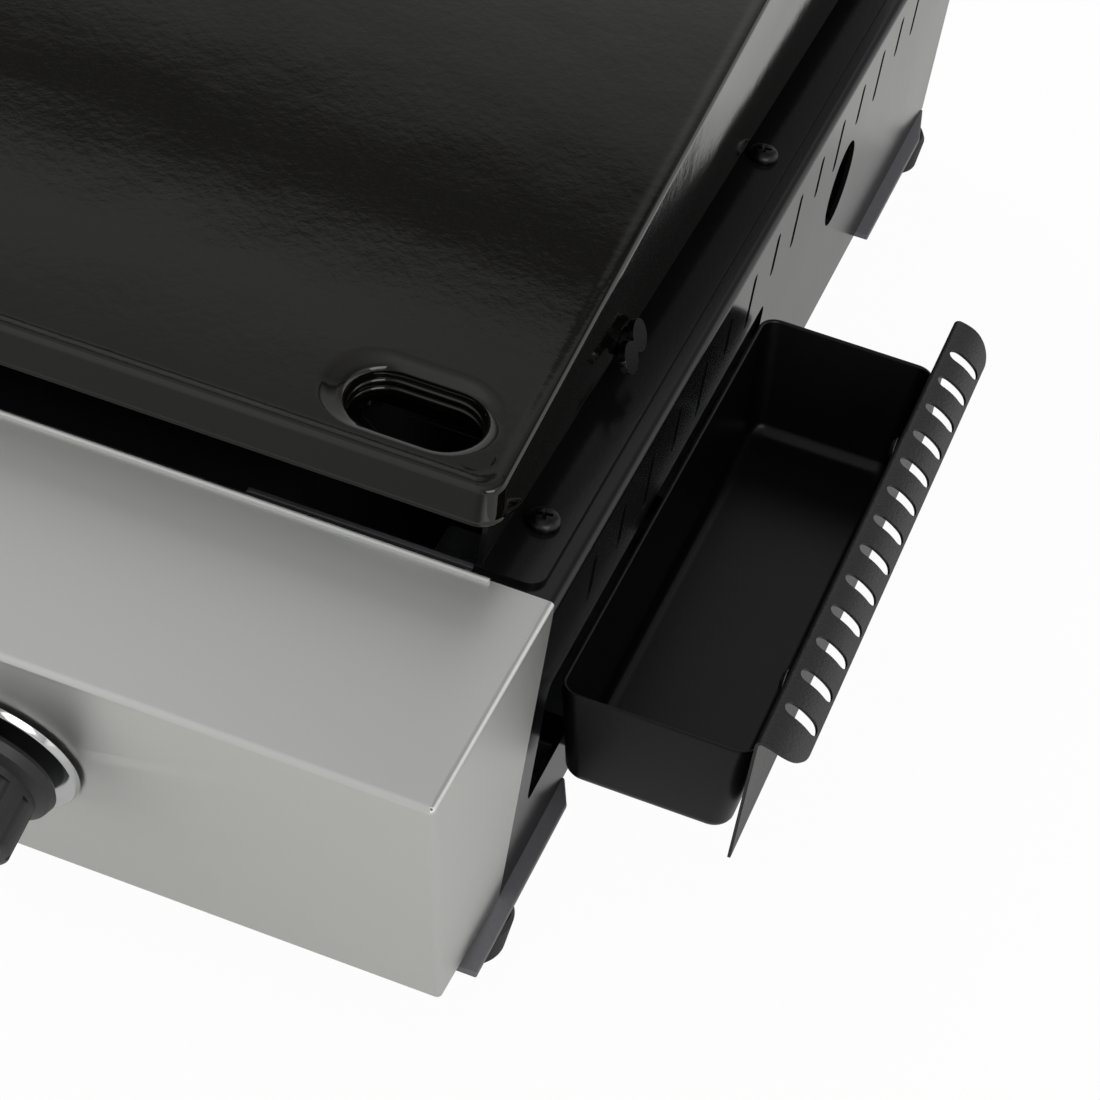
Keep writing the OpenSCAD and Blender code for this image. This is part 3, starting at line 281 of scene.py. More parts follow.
def dress(piece, node, material=None, replace=True):
    """Gives a new piece a CAD node's body and the finish of the node's slot, or the material given, and hides the node.
    """
    slot = slot_of_node(node)
    if not piece.data.materials:
        piece.data.materials.append(material or finish_of(slot))
    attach(piece, body_of_node(node))
    if replace:
        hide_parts(node)


def new_piece(name, shape, crease=35.0):
    """Turns a bmesh into an object with outward normals, smooth except at its creases."""
    bmesh.ops.remove_doubles(shape, verts=shape.verts, dist=1e-6)
    bmesh.ops.recalc_face_normals(shape, faces=shape.faces)
    mesh = bpy.data.meshes.new(name)
    shape.to_mesh(mesh)
    shape.free()
    mesh.shade_smooth()
    mesh.set_sharp_from_angle(angle=math.radians(crease))
    made = bpy.data.objects.new(name, mesh)
    bpy.context.scene.collection.objects.link(made)
    return made


def add_rings(shape, rings):
    """Joins closed rings of points, all with the same count, into a wall. Returns their edge vertices."""
    rows = [[shape.verts.new(p) for p in ring] for ring in rings]
    for row, following in zip(rows, rows[1:]):
        for i in range(len(row)):
            j = (i + 1) % len(row)
            shape.faces.new((row[i], row[j], following[j], following[i]))
    return rows[0], rows[-1]


def fill_between(shape, *loops):
    """Fills the flat area between an outer loop and the loops inside it."""
    edges = []
    for loop in loops:
        for pair in zip(loop, [*loop[1:], loop[0]]):
            edges.append(shape.edges.get(pair) or shape.edges.new(pair))
    bmesh.ops.triangle_fill(shape, use_beauty=True, use_dissolve=False, edges=edges)


def fill_round(shape, outer, inner):
    """Fills the flat area between a loop and one loop inside it with two faces, which meet left and right."""
    halves = []
    for pick in (min, max):
        tip = inner.index(pick(inner, key=lambda vert: vert.co.x))
        far = pick(vert.co.x for vert in outer)
        side = [vert for vert in outer if abs(vert.co.x - far) < 1e-6]
        near = outer.index(min(side, key=lambda vert: abs(vert.co.y - inner[tip].co.y)))
        halves.append((outer[near:] + outer[:near], inner[tip:] + inner[:tip]))
    for (rim, hole), (far_rim, far_hole) in (halves, halves[::-1]):
        run = rim[: rim.index(far_rim[0]) + 1]
        back = hole[: hole.index(far_hole[0]) + 1]
        shape.faces.new([*run, *reversed(back)])


def arc_points(centre, radius, start, end, count):
    """Points on an arc, in degrees, both ends included."""
    steps = [math.radians(start + (end - start) * i / count) for i in range(count + 1)]
    return [(centre[0] + radius * math.cos(a), centre[1] + radius * math.sin(a)) for a in steps]


def outline(low, high, radius, marks_x=(), marks_y=(), count=10):
    """Anticlockwise points round a rectangle with round corners, with extra points at the marks."""
    (x0, y0), (x1, y1) = low, high
    r = radius
    points = [(x, y0) for x in marks_x]
    points += arc_points((x1 - r, y0 + r), r, -90, 0, count)
    points += [(x1, y) for y in marks_y]
    points += arc_points((x1 - r, y1 - r), r, 0, 90, count)
    points += [(x, y1) for x in reversed(marks_x)]
    points += arc_points((x0 + r, y1 - r), r, 90, 180, count)
    points += [(x0, y) for y in reversed(marks_y)]
    points += arc_points((x0 + r, y0 + r), r, 180, 270, count)
    return points


def settle(name, source):
    """Turns an object with modifiers into a plain mesh object, and removes the first one."""
    source.update_tag()
    graph = bpy.context.evaluated_depsgraph_get()
    mesh = bpy.data.meshes.new_from_object(source.evaluated_get(graph), depsgraph=graph)
    mesh.name = name
    source.modifiers.clear()
    bpy.data.objects.remove(source)
    made = bpy.data.objects.new(name, mesh)
    bpy.context.scene.collection.objects.link(made)
    return made


def cut_away(bare, cutter, name):
    """Cuts one object out of another, removes both and returns what is left as a plain mesh object."""
    cut = bare.modifiers.new("Cut", "BOOLEAN")
    cut.object = cutter
    cut.solver = "EXACT"
    cut.use_self = True
    made = settle(name, bare)
    bpy.data.objects.remove(cutter)
    made.data.set_sharp_from_angle(angle=math.radians(40))
    return made


def run_geometry_nodes(name, source, tree, values):
    """Runs a geometry tree on an object and returns the result as a plain mesh object."""
    modifier = source.modifiers.new(name, "NODES")
    modifier.node_group = tree
    for item in tree.interface.items_tree:
        if item.item_type == "SOCKET" and item.in_out == "INPUT" and item.name in values:
            modifier[item.identifier] = values[item.name]
    return settle(name, source)


def geometry_tree(name, sockets):
    """An empty geometry tree with named inputs."""
    tree = bpy.data.node_groups.new(name, "GeometryNodeTree")
    tree.interface.new_socket("Geometry", in_out="INPUT", socket_type="NodeSocketGeometry")
    for label, kind in sockets:
        tree.interface.new_socket(label, in_out="INPUT", socket_type=kind)
    tree.interface.new_socket("Geometry", in_out="OUTPUT", socket_type="NodeSocketGeometry")
    return tree, add(tree, "NodeGroupInput")


def close_tree(tree, geometry, material_socket):
    """Ends a geometry tree in Realize Instances and Set Material."""
    real = add(tree, "GeometryNodeRealizeInstances", {"Geometry": geometry})
    painted = add(
        tree, "GeometryNodeSetMaterial", {"Geometry": real.outputs[0], "Material": material_socket}
    )
    add(tree, "NodeGroupOutput", {"Geometry": painted.outputs[0]})


# Sizes and colours that a user would change


class GriddlePlateSizes(bpy.types.PropertyGroup):
    """Sizes of the cooking plate."""

    slope: bpy.props.FloatProperty(
        name="Slope", description="Slope of the plate down to its front", default=math.radians(9), unit="ROTATION"
    )
    rim_height: bpy.props.FloatProperty(
        name="Rim height", description="Height of the rim over the surface", default=0.2 * MM, unit="LENGTH"
    )
    corner: bpy.props.FloatProperty(
        name="Corner radius", description="Radius of the plate's corners", default=6 * MM, unit="LENGTH"
    )
    draft: bpy.props.FloatProperty(
        name="Draft", description="How far the skirts splay", default=math.radians(2.8), unit="ROTATION"
    )
    front_skirt: bpy.props.FloatProperty(
        name="Front gap", description="Gap between deck and front skirt", default=16.8 * MM, unit="LENGTH"
    )
    drain_inset: bpy.props.FloatProperty(
        name="Drain inset", description="Drain's centre from the right edge", default=31.5 * MM, unit="LENGTH"
    )
    drain_setback: bpy.props.FloatProperty(
        name="Drain setback", description="Drain's centre from the front edge", default=21 * MM, unit="LENGTH"
    )
    notch_radius: bpy.props.FloatProperty(
        name="Notch radius", description="Radius of the notch over a thumbscrew", default=7 * MM, unit="LENGTH"
    )
    notch_height: bpy.props.FloatProperty(
        name="Notch height", description="Height of the notch's centre over the deck", default=10.6 * MM, unit="LENGTH"
    )


class GriddleDrawerSizes(bpy.types.PropertyGroup):
    """Sizes of the fat drawer."""

    corner: bpy.props.FloatProperty(
        name="Corner radius", description="Radius of the tray's upright corners", default=6 * MM, unit="LENGTH"
    )
    wall: bpy.props.FloatProperty(
        name="Wall", description="Thickness of the tray's sheet", default=1.2 * MM, unit="LENGTH"
    )
    fillet: bpy.props.FloatProperty(
        name="Floor fillet", description="Bend radius between floor and walls", default=4.5 * MM, unit="LENGTH"
    )
    taper_x: bpy.props.FloatProperty(
        name="Side taper", description="Draw-in of the long walls at the floor", default=4.2 * MM, unit="LENGTH"
    )
    taper_y: bpy.props.FloatProperty(
        name="End taper", description="Draw-in of the short walls at the floor", default=8 * MM, unit="LENGTH"
    )


class GriddleRibSizes(bpy.types.PropertyGroup):
    """Sizes of the ribs in front of the drip cut-out."""

    count: bpy.props.IntProperty(name="Ribs", description="Number of ribs", default=3)
    pitch: bpy.props.FloatProperty(
        name="Rib pitch", description="Distance from one rib to the next", default=2.4 * MM, unit="LENGTH"
    )
    height: bpy.props.FloatProperty(
        name="Rib height", description="Height of a rib over the deck", default=0.6 * MM, unit="LENGTH"
    )
    setback: bpy.props.FloatProperty(
        name="Setback", description="First rib behind the deck's front edge", default=0.9 * MM, unit="LENGTH"
    )
    reach: bpy.props.FloatProperty(
        name="Reach", description="How far the ribs pass the chute to the left", default=6 * MM, unit="LENGTH"
    )


class GriddleHandleSizes(bpy.types.PropertyGroup):
    """Sizes of the drawer's handle plate and its slotted lip."""

    sheet: bpy.props.FloatProperty(
        name="Sheet", description="Thickness of the handle's sheet", default=0.9 * MM, unit="LENGTH"
    )
    bend: bpy.props.FloatProperty(
        name="Bend", description="Radius of the bend from plate to lip", default=1.8 * MM, unit="LENGTH"
    )
    curve: bpy.props.FloatProperty(
        name="Lip curve", description="Radius that the lip is rolled to", default=17 * MM, unit="LENGTH"
    )
    start: bpy.props.FloatProperty(
        name="Lip start", description="Fall of the lip at the bend", default=math.radians(8), unit="ROTATION"
    )
    stop: bpy.props.FloatProperty(
        name="Lip stop", description="Fall of the lip at its edge", default=math.radians(55), unit="ROTATION"
    )
    corner: bpy.props.FloatProperty(
        name="Corner radius", description="Radius of the lip's outer corners", default=10 * MM, unit="LENGTH"
    )
    slots: bpy.props.IntProperty(name="Slots", description="Number of slots in the lip", default=13)
    pitch: bpy.props.FloatProperty(
        name="Slot pitch", description="Distance from one slot to the next", default=15 * MM, unit="LENGTH"
    )
    slot_length: bpy.props.FloatProperty(
        name="Slot length", description="Length of a slot across the lip", default=11.8 * MM, unit="LENGTH"
    )
    slot_width: bpy.props.FloatProperty(
        name="Slot width", description="Width of a slot along the lip", default=5 * MM, unit="LENGTH"
    )


class GriddleBoxSizes(bpy.types.PropertyGroup):
    """Sizes of the control box."""

    fold: bpy.props.FloatProperty(
        name="Front fold", description="Radius of the fold between top and front", default=1.5 * MM, unit="LENGTH"
    )
    side_bend: bpy.props.FloatProperty(
        name="Side bend", description="Radius of the bends towards the end faces", default=1.5 * MM, unit="LENGTH"
    )
    sheet: bpy.props.FloatProperty(
        name="Sheet", description="Thickness of the box's sheet", default=1.2 * MM, unit="LENGTH"
    )
    drawn_back: bpy.props.FloatProperty(
        name="Drawn back", description="How far the foot of the front is drawn back", default=39 * MM, unit="LENGTH"
    )
    foot_rise: bpy.props.FloatProperty(
        name="Foot rise", description="Front edge above the rear lower corner", default=5 * MM, unit="LENGTH"
    )
    hem_height: bpy.props.FloatProperty(
        name="Hem height", description="Height of the hem along the back edge", default=1.2 * MM, unit="LENGTH"
    )
    hem_stop: bpy.props.FloatProperty(
        name="Hem stop", description="Distance from each end where the hem stops", default=18 * MM, unit="LENGTH"
    )


class GriddleFastenerSizes(bpy.types.PropertyGroup):
    """Sizes of the screws."""

    rail_head: bpy.props.FloatProperty(
        name="Rail screw head", description="Diameter of a rail screw's head", default=9.8 * MM, unit="LENGTH"
    )
    back_head: bpy.props.FloatProperty(
        name="Back screw head", description="Diameter of a back screw's head", default=8 * MM, unit="LENGTH"
    )
    spin_seed: bpy.props.IntProperty(
        name="Spin seed", description="Seed of the angle each cross recess stands at", default=4
    )


class GriddleFinishes(bpy.types.PropertyGroup):
    """Colours of the finishes."""

    coat: bpy.props.FloatVectorProperty(
        name="Coat", description="Black powder coat", subtype="COLOR", size=4, default=linear("080809")
    )
    enamel: bpy.props.FloatVectorProperty(
        name="Enamel", description="Enamel of the plate", subtype="COLOR", size=4, default=linear("0b0a07")
    )
    steel: bpy.props.FloatVectorProperty(
        name="Steel", description="Brushed stainless sheet", subtype="COLOR", size=4, default=linear("dadbd8")
    )


class GriddleStage(bpy.types.PropertyGroup):
    """Floor, light and camera."""

    floor_colour: bpy.props.FloatVectorProperty(
        name="Floor", description="Colour of the floor", subtype="COLOR", size=4, default=linear("e9e9e6")
    )
    lens: bpy.props.FloatProperty(
        name="Lens", description="Focal length of the camera in millimetres", default=109.57
    )


class GRIDDLE_OT_stage(bpy.types.Operator):
    """Makes the pale floor, the soft lights and the camera"""

    bl_idname = "griddle.stage"
    bl_label = "Stage"

    def execute(self, context):
        stage = context.scene.griddle_stage
        self.camera(context, stage)
        self.floor(stage)
        self.sky()
        self.lamps()
        context.scene.view_settings.view_transform = "Standard"
        return {"FINISHED"}

    def camera(self, context, stage):
        """Looks at the right front corner from high up, as the photograph does."""
        azimuth = math.radians(12.91)
        elevation = math.radians(39.16)
        roll = math.radians(10.62)
        level = Vector((math.cos(azimuth), math.sin(azimuth), 0))
        back = Vector(
            (
                math.sin(azimuth) * math.cos(elevation),
                -math.cos(azimuth) * math.cos(elevation),
                math.sin(elevation),
            )
        )
        rise = back.cross(level)
        right = level * math.cos(roll) + rise * math.sin(roll)
        up = rise * math.cos(roll) - level * math.sin(roll)
        lens = bpy.data.cameras.new("camera")
        lens.lens = stage.lens
        lens.sensor_width = 36
        camera = bpy.data.objects.new("camera", lens)
        turned = Matrix((right, up, back)).transposed().to_4x4()
        camera.matrix_world = Matrix.Translation((MID_X + 0.4686, SHELL_LOW.y - 0.6437, 0.6785)) @ turned
        context.scene.collection.objects.link(camera)
        context.scene.camera = camera

    def floor(self, stage):
        """A wide floor that the camera and reflections see nearly white, with the object's shadow kept."""
        shape = bmesh.new()
        bmesh.ops.create_grid(shape, x_segments=2, y_segments=2, size=6)
        floor = new_piece("floor", shape)
        material, tree, place = blank("floor_paint")
        inputs = {"Base Color": stage.floor_colour, "Roughness": 0.9}
        paint = add(tree, "ShaderNodeBsdfPrincipled", inputs)
        path = add(tree, "ShaderNodeLightPath")
        mirrored = {0: path.outputs["Is Glossy Ray"], 1: path.outputs["Is Transmission Ray"]}
        mirrored = add(tree, "ShaderNodeMath", mirrored, operation="MAXIMUM")
        shares = {0: path.outputs["Is Camera Ray"], 1: 0.97}
        direct = add(tree, "ShaderNodeMath", shares, operation="MULTIPLY")
        share = add(tree, "ShaderNodeMath", {0: mirrored, 1: 0.31, 2: direct}, operation="MULTIPLY_ADD")
        white = add(tree, "ShaderNodeEmission", {"Color": (1, 1, 1, 1), "Strength": 1.0})
        mixed = add(tree, "ShaderNodeMixShader", {0: share, 1: paint, 2: white})
        add(tree, "ShaderNodeOutputMaterial", {"Surface": mixed})
        floor.data.materials.append(material)

    def sky(self):
        """White to the camera; for reflections a room with a dark ceiling, a lit wall and bright panels."""
        world = bpy.data.worlds.new("studio")
        bpy.context.scene.world = world
        world.use_nodes = True
        tree = world.node_tree
        tree.nodes.clear()
        way = add(tree, "ShaderNodeTexCoord").outputs["Generated"]
        slant = add(tree, "ShaderNodeVectorMath", {0: way, 1: (-0.1, -0.8, 1)}, operation="DOT_PRODUCT")
        ramp = add(tree, "ShaderNodeValToRGB", {"Fac": slant.outputs["Value"]})
        stops = (
            (0.0, 0.80), (0.20, 0.85), (0.265, 0.48), (0.286, 0.40), (0.30, 0.30), (0.31, 0.15), (0.32, 0.07),
            (0.33, 0.05), (0.337, 0.11), (0.343, 0.22), (0.351, 0.40), (0.357, 0.48), (0.364, 0.51),
            (0.376, 0.50), (0.39, 0.45), (0.41, 0.35), (0.46, 0.40), (0.70, 0.55), (0.86, 0.72), (1.0, 0.85),
        )
        ends = ramp.color_ramp.elements
        ends[0].color = (stops[0][1],) * 3 + (1,)
        ends[1].position = stops[-1][0]
        ends[1].color = (stops[-1][1],) * 3 + (1,)
        for height, level in stops[1:-1]:
            ends.new(height).color = (level, level, level, 1)
        apart = add(tree, "ShaderNodeSeparateXYZ", {"Vector": way})
        side = {"Value": apart.outputs["X"], "From Min": -0.28, "From Max": 0.25, "To Min": 1.0, "To Max": 0.4}
        fall = add(tree, "ShaderNodeMapRange", side)
        side = {"Value": apart.outputs["X"], "From Min": 0.42, "From Max": 0.6, "To Max": 1.1}
        strip = add(tree, "ShaderNodeMapRange", side)
        right = add(tree, "ShaderNodeMath", {0: fall, 1: strip}, operation="ADD")
        path = add(tree, "ShaderNodeLightPath")
        room = add(tree, "ShaderNodeBackground", {"Color": ramp, "Strength": right})
        fill = add(tree, "ShaderNodeBackground", {"Color": (1, 1, 1, 1), "Strength": 0.4})
        white = add(tree, "ShaderNodeBackground", {"Color": (1, 1, 1, 1), "Strength": 1.0})
        lit = add(tree, "ShaderNodeMixShader", {0: path.outputs["Is Glossy Ray"], 1: fill, 2: room})
        seen = add(tree, "ShaderNodeMixShader", {0: path.outputs["Is Camera Ray"], 1: lit, 2: white})
        add(tree, "ShaderNodeOutputWorld", {"Surface": seen})

    def lamps(self):
        """Two soft boxes: high at the back left, not mirrored, and lower at the front right, which rounded edges catch."""
        for name, place, size, power in (
            ("softbox_back", (-1.1, 0.9, 1.7), 1.3, 26),
            ("softbox_front", (1.5, -1.5, 1.3), 1.2, 14),
        ):
            light = bpy.data.lights.new(name, "AREA")
            light.shape = "SQUARE"
            light.size = size
            light.energy = power
            lamp = bpy.data.objects.new(name, light)
            lamp.location = place
            lamp.rotation_euler = (-Vector(place)).to_track_quat("-Z", "Y").to_euler()
            lamp.visible_glossy = name == "softbox_front"
            bpy.context.scene.collection.objects.link(lamp)


class GRIDDLE_OT_box(bpy.types.Operator):
    """Folds the stainless control box, with its side bends, seams, hem and the holes for the knobs"""

    bl_idname = "griddle.box"
    bl_label = "Control box"

    def execute(self, context):
        sizes = context.scene.griddle_box
        half = (BOX_HIGH.x - BOX_LOW.x) / 2
        depth = BOX_HIGH.y - BOX_LOW.y
        back, low = BOX_HIGH.y, BOX_LOW.z
        top = BOX_HIGH.z - sizes.hem_height
        foot = low + sizes.foot_rise
        lean = math.atan2(sizes.drawn_back, top - foot)
        down = Vector((0, math.sin(lean), -math.cos(lean)))
        out = Vector((0, -math.cos(lean), -math.sin(lean)))
        apex = Vector((0, BOX_LOW.y, top))
        bend, fold = sizes.side_bend, sizes.fold
        turn = sizes.fold / math.tan((math.pi / 2 - lean) / 2)
        centre = Vector((0, BOX_LOW.y + turn, top - fold))

        def section(x, inset, groove=0.0):
            """Top, fold and front of the box at one place, drawn in by an inset."""
            points = [Vector((x, y, top - inset - groove)) for y in (back, back - depth / 2)]
            points.append(Vector((x, centre.y + 2.5 * MM, top - inset - groove)))
            for i in range(9):
                a = (math.pi / 2 + lean) * i / 8
                reach = fold - inset
                points.append(centre + Vector((x, -reach * math.sin(a), reach * math.cos(a))))
            last = apex + down * ((top - foot) / math.cos(lean)) - out * inset
            last += down * (foot - last.z) / down.z
            start = points[-1]
            points.append(start.lerp(last + Vector((x, 0, 0)), 0.02))
            points.append(last + Vector((x, 0, 0)))
            return points

        steps = [math.radians(15 * i) for i in range(7)]
        right = [(half - bend * (1 - math.cos(a)), bend * (1 - math.sin(a)), 0.0) for a in steps]
        seam = [(0.05, 0.0), (0.08, 0.15), (0.2, 0.15), (0.24, 0.0), (2.5, 0.0)]
        right += [(half - bend - x * MM, 0.0, g * MM) for x, g in seam]
        rows = [(-x, inset, g) for x, inset, g in right] + [r for r in reversed(right)]
        shape = bmesh.new()
        grid = [[shape.verts.new(p + Vector((MID_X, 0, 0))) for p in section(*row)] for row in rows]
        middle = len(right) - 1
        last = len(grid[0]) - 1
        relief = {4, 5, len(rows) - 6, len(rows) - 7}
        for i in range(len(grid) - 1):
            for j in range(last):
                if i == middle and j == last - 1:
                    continue
                if i in relief and 5 <= j <= 6:
                    continue
                shape.faces.new((grid[i][j], grid[i + 1][j], grid[i + 1][j + 1], grid[i][j + 1]))
        for row, x in ((grid[0], -half), (grid[-1], half)):
            corner = shape.verts.new((MID_X + x, back, low))
            shape.faces.new([*row, corner])
        panel = [grid[middle][last - 1], grid[middle][last], grid[middle + 1][last], grid[middle + 1][last - 1]]
        fill_between(shape, panel, *self.holes(shape, apex, down, out))
        shell = new_piece("control_box_sheet", shape, 40)
        thick = shell.modifiers.new("Sheet", "SOLIDIFY")
        thick.thickness = sizes.sheet
        thick.offset = -1
        even = shell.modifiers.new("Normals", "WEIGHTED_NORMAL")
        even.keep_sharp = True
        dress(shell, "control_box")
        self.hem(sizes, half, back, top)
        return {"FINISHED"}

    def holes(self, shape, apex, down, out):
        """Rings round the places where the stems and the button pass the front."""
        rings = []
        for node, radius in (("stem_left", 6), ("stem_mid", 6), ("stem_right", 6), ("igniter_button", 9.1)):
            low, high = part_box(node)
            middle = (low + high) / 2
            if node.startswith("stem"):
                along = (middle - apex).dot(down)
            place = Vector((middle.x, apex.y, apex.z)) + down * along
            rings.append(
                [
                    shape.verts.new(place + (Vector((math.cos(a), 0, 0)) + down * math.sin(a)) * radius * MM)
                    for a in (math.tau * i / 40 for i in range(40))
                ]
            )
        return rings

    def hem(self, sizes, half, back, top):
        """The sheet's back edge, folded up and over on itself."""
        width, height = 1.7 * MM, sizes.hem_height
        crown = arc_points((back - width / 2, top + height - width / 2), width / 2, 180, 0, 10)
        profile = [*crown, (back, top - 0.2 * MM), (back - width, top - 0.2 * MM)]
        end = half - sizes.hem_stop
        marks = [-end, -end + 0.3 * MM, end - 0.3 * MM, end]
        shape = bmesh.new()
        rings = [[(MID_X + x, y, z) for y, z in profile] for x in marks]
        for loop in add_rings(shape, rings):
            shape.faces.new(loop)
        hem = new_piece("control_box_hem", shape, 50)
        dress(hem, "control_box", replace=False)


class GRIDDLE_OT_plate(bpy.types.Operator):
    """Makes the enamelled cooking plate with its rim, skirts and drain"""

    bl_idname = "griddle.plate"
    bl_label = "Cooking plate"

    def execute(self, context):
        sizes = context.scene.griddle_plate
        slope = sizes.slope
        x0, x1, y0, y1 = PLATE_LOW.x, PLATE_HIGH.x, PLATE_LOW.y, PLATE_HIGH.y
        front_top = PLATE_HIGH.z - (y1 - y0) * math.tan(slope)
        side_low = PLATE_LOW.z
        front_low = DECK_Z + sizes.front_skirt
        notch_y = sum(corner.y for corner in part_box("thumbscrew_right")) / 2
        notch_z, notch_r = DECK_Z + sizes.notch_height, sizes.notch_radius
        bend, edge = 6 * MM, 14 * MM

        def surface(y, drop):
            return front_top + (y - y0) * math.tan(slope) - drop * MM

        def foot(x, y, inset):
            """Lower edge of the skirt at a point of the outline."""
            ahead = min(y - y0, y1 - y) - bend
            t = min(max(ahead / edge, 0), 1)
            z = side_low + (front_low - side_low) * (0.5 + 0.5 * math.cos(math.pi * t))
            off = abs(y - notch_y)
            if off < notch_r:
                z = max(z, notch_z + math.sqrt(notch_r**2 - off**2))
            return z

        near = [i * 1.5 * MM for i in range(8)]
        marks_x = [x0 + 7 * MM + d for d in near] + [x1 - 7 * MM - d for d in reversed(near)]
        notch = [notch_y + i * 0.5 * MM for i in range(-14, 15)]
        marks_y = [y0 + 7 * MM + d for d in near] + notch + [y1 - 7 * MM - d for d in reversed(near)]

        def ring(inset, radius, level, value):
            i = inset * MM
            points = outline((x0 + i, y0 + i), (x1 - i, y1 - i), radius * MM, marks_x, marks_y)
            if level == "foot":
                j = i - MM
                wider = outline((x0 + j, y0 + j), (x1 - j, y1 - j), radius * MM + MM, marks_x, marks_y)
                made = []
                for (x, y), (u, v) in zip(points, wider):
                    z = foot(x, y, inset)
                    splay = math.tan(sizes.draft) * (surface(y, 0) - z) / MM
                    if abs(y - notch_y) < notch_r + 4 * MM:
                        splay += min(inset, 0)
                    made.append((x + (u - x) * splay, y + (v - y) * splay, z + value * MM))
                return made
            return [(x, y, surface(y, value)) for x, y in points]

        rim = sizes.rim_height / MM
        under = rim + 3 / math.cos(slope)
        rings = [
            ring(3.6, 3.5, "top", under),
            ring(2.9, 3.4, "top", under),
            ring(2.5, 3.5, "top", under + 0.5),
            ring(2.5, 3.5, "foot", 0.9),
            ring(2.36, 3.6, "foot", 0.3),
            ring(2.0, 4.0, "foot", 0.04),
            ring(1.6, 4.4, "foot", 0.0),
            ring(0.8, 5.2, "foot", 0.0),
            ring(0.2, 5.8, "foot", 0.08),
            ring(-0.15, 6.15, "foot", 0.4),
            ring(-0.3, 6.3, "foot", 1.0),
            ring(-0.23, 6.23, "foot", 1.55),
            ring(0.0, 6.0, "foot", 2.0),
            ring(0.0, 6.0, "foot", 2.5),
            ring(0.0, 6.0, "foot", 4.0),
            ring(0.0, 6.0, "top", 2.4),
            ring(0.0, 6.0, "top", 1.6),
            ring(0.1, 5.9, "top", 0.95),
            ring(0.38, 5.7, "top", 0.42),
            ring(0.8, 5.4, "top", 0.13),
            ring(1.35, 5.2, "top", 0.0),
            ring(2.3, 5.2, "top", 0.03),
            ring(3.0, 5.2, "top", rim * 0.3),
            ring(3.8, 5.3, "top", rim * 0.7),
            ring(4.6, 5.6, "top", rim * 0.93),
            ring(5.4, 6.2, "top", rim),
            ring(6.2, 6.8, "top", rim),
        ]
        shape = bmesh.new()
        under_loop, floor_loop = add_rings(shape, rings)

        centre = Vector((x1 - sizes.drain_inset, y0 + sizes.drain_setback, 0))
        centre.z = surface(centre.y, rim)
        across = Vector((1, 0, 0))
        uphill = Vector((0, math.cos(slope), math.sin(slope)))
        normal = Vector((0, -math.sin(slope), math.cos(slope)))

        def drain_ring(radius, height):
            """A slot outline round the drain; the dish round its mouth reaches left, and less to the front."""
            left = -8 - 2.2 * min(max(radius - 12, 0), 1.5)
            if height < -3:
                left = -8
            ends = arc_points((8, 0), radius, -90, 90, 20) + arc_points((left, 0), radius, 90, 270, 20)
            front = 1 - 0.088 * max(radius - 12, 0) ** 2 / radius if height > -2 else 1
            ends = [(u, v * front if v < 0 else v) for u, v in ends]
            return [centre + (across * u + uphill * v + normal * height) * MM for u, v in ends]

        profile = (
            (17.0, 0), (16.2, 0), (15.6, -0.01), (15.0, -0.05), (14.4, -0.13), (13.8, -0.26), (13.2, -0.46),
            (12.6, -0.76), (12.1, -1.14), (11.65, -1.7), (11.3, -2.4), (11.08, -3.2), (11.0, -4.4), (10.9, -4.9),
            (10.6, -5.1), (10.45, -5.5), (10.6, -5.9), (10.9, -6.2), (11.1, -7.4), (11.0, -8.0),
            (10.7, -8.2), (10.55, -8.6), (10.7, -9.0), (11.1, -9.4), (11.45, -10.6), (11.6, -11.7),
            (11.8, -12.0), (12.2, -12.1), (12.6, -12.05), (12.9, -11.8), (13.0, -11.3), (13.0, -4.2),
            (13.15, -3.5), (13.6, -3.1), (14.2, -3.0), (15.0, -3.0),
        )
        mouth, collar = add_rings(shape, [drain_ring(r, h) for r, h in profile])
        fill_round(shape, floor_loop, mouth)
        fill_round(shape, under_loop, collar)
        plate = new_piece("cooking_plate", shape, 50)
        dress(plate, "griddle_plate")
        return {"FINISHED"}


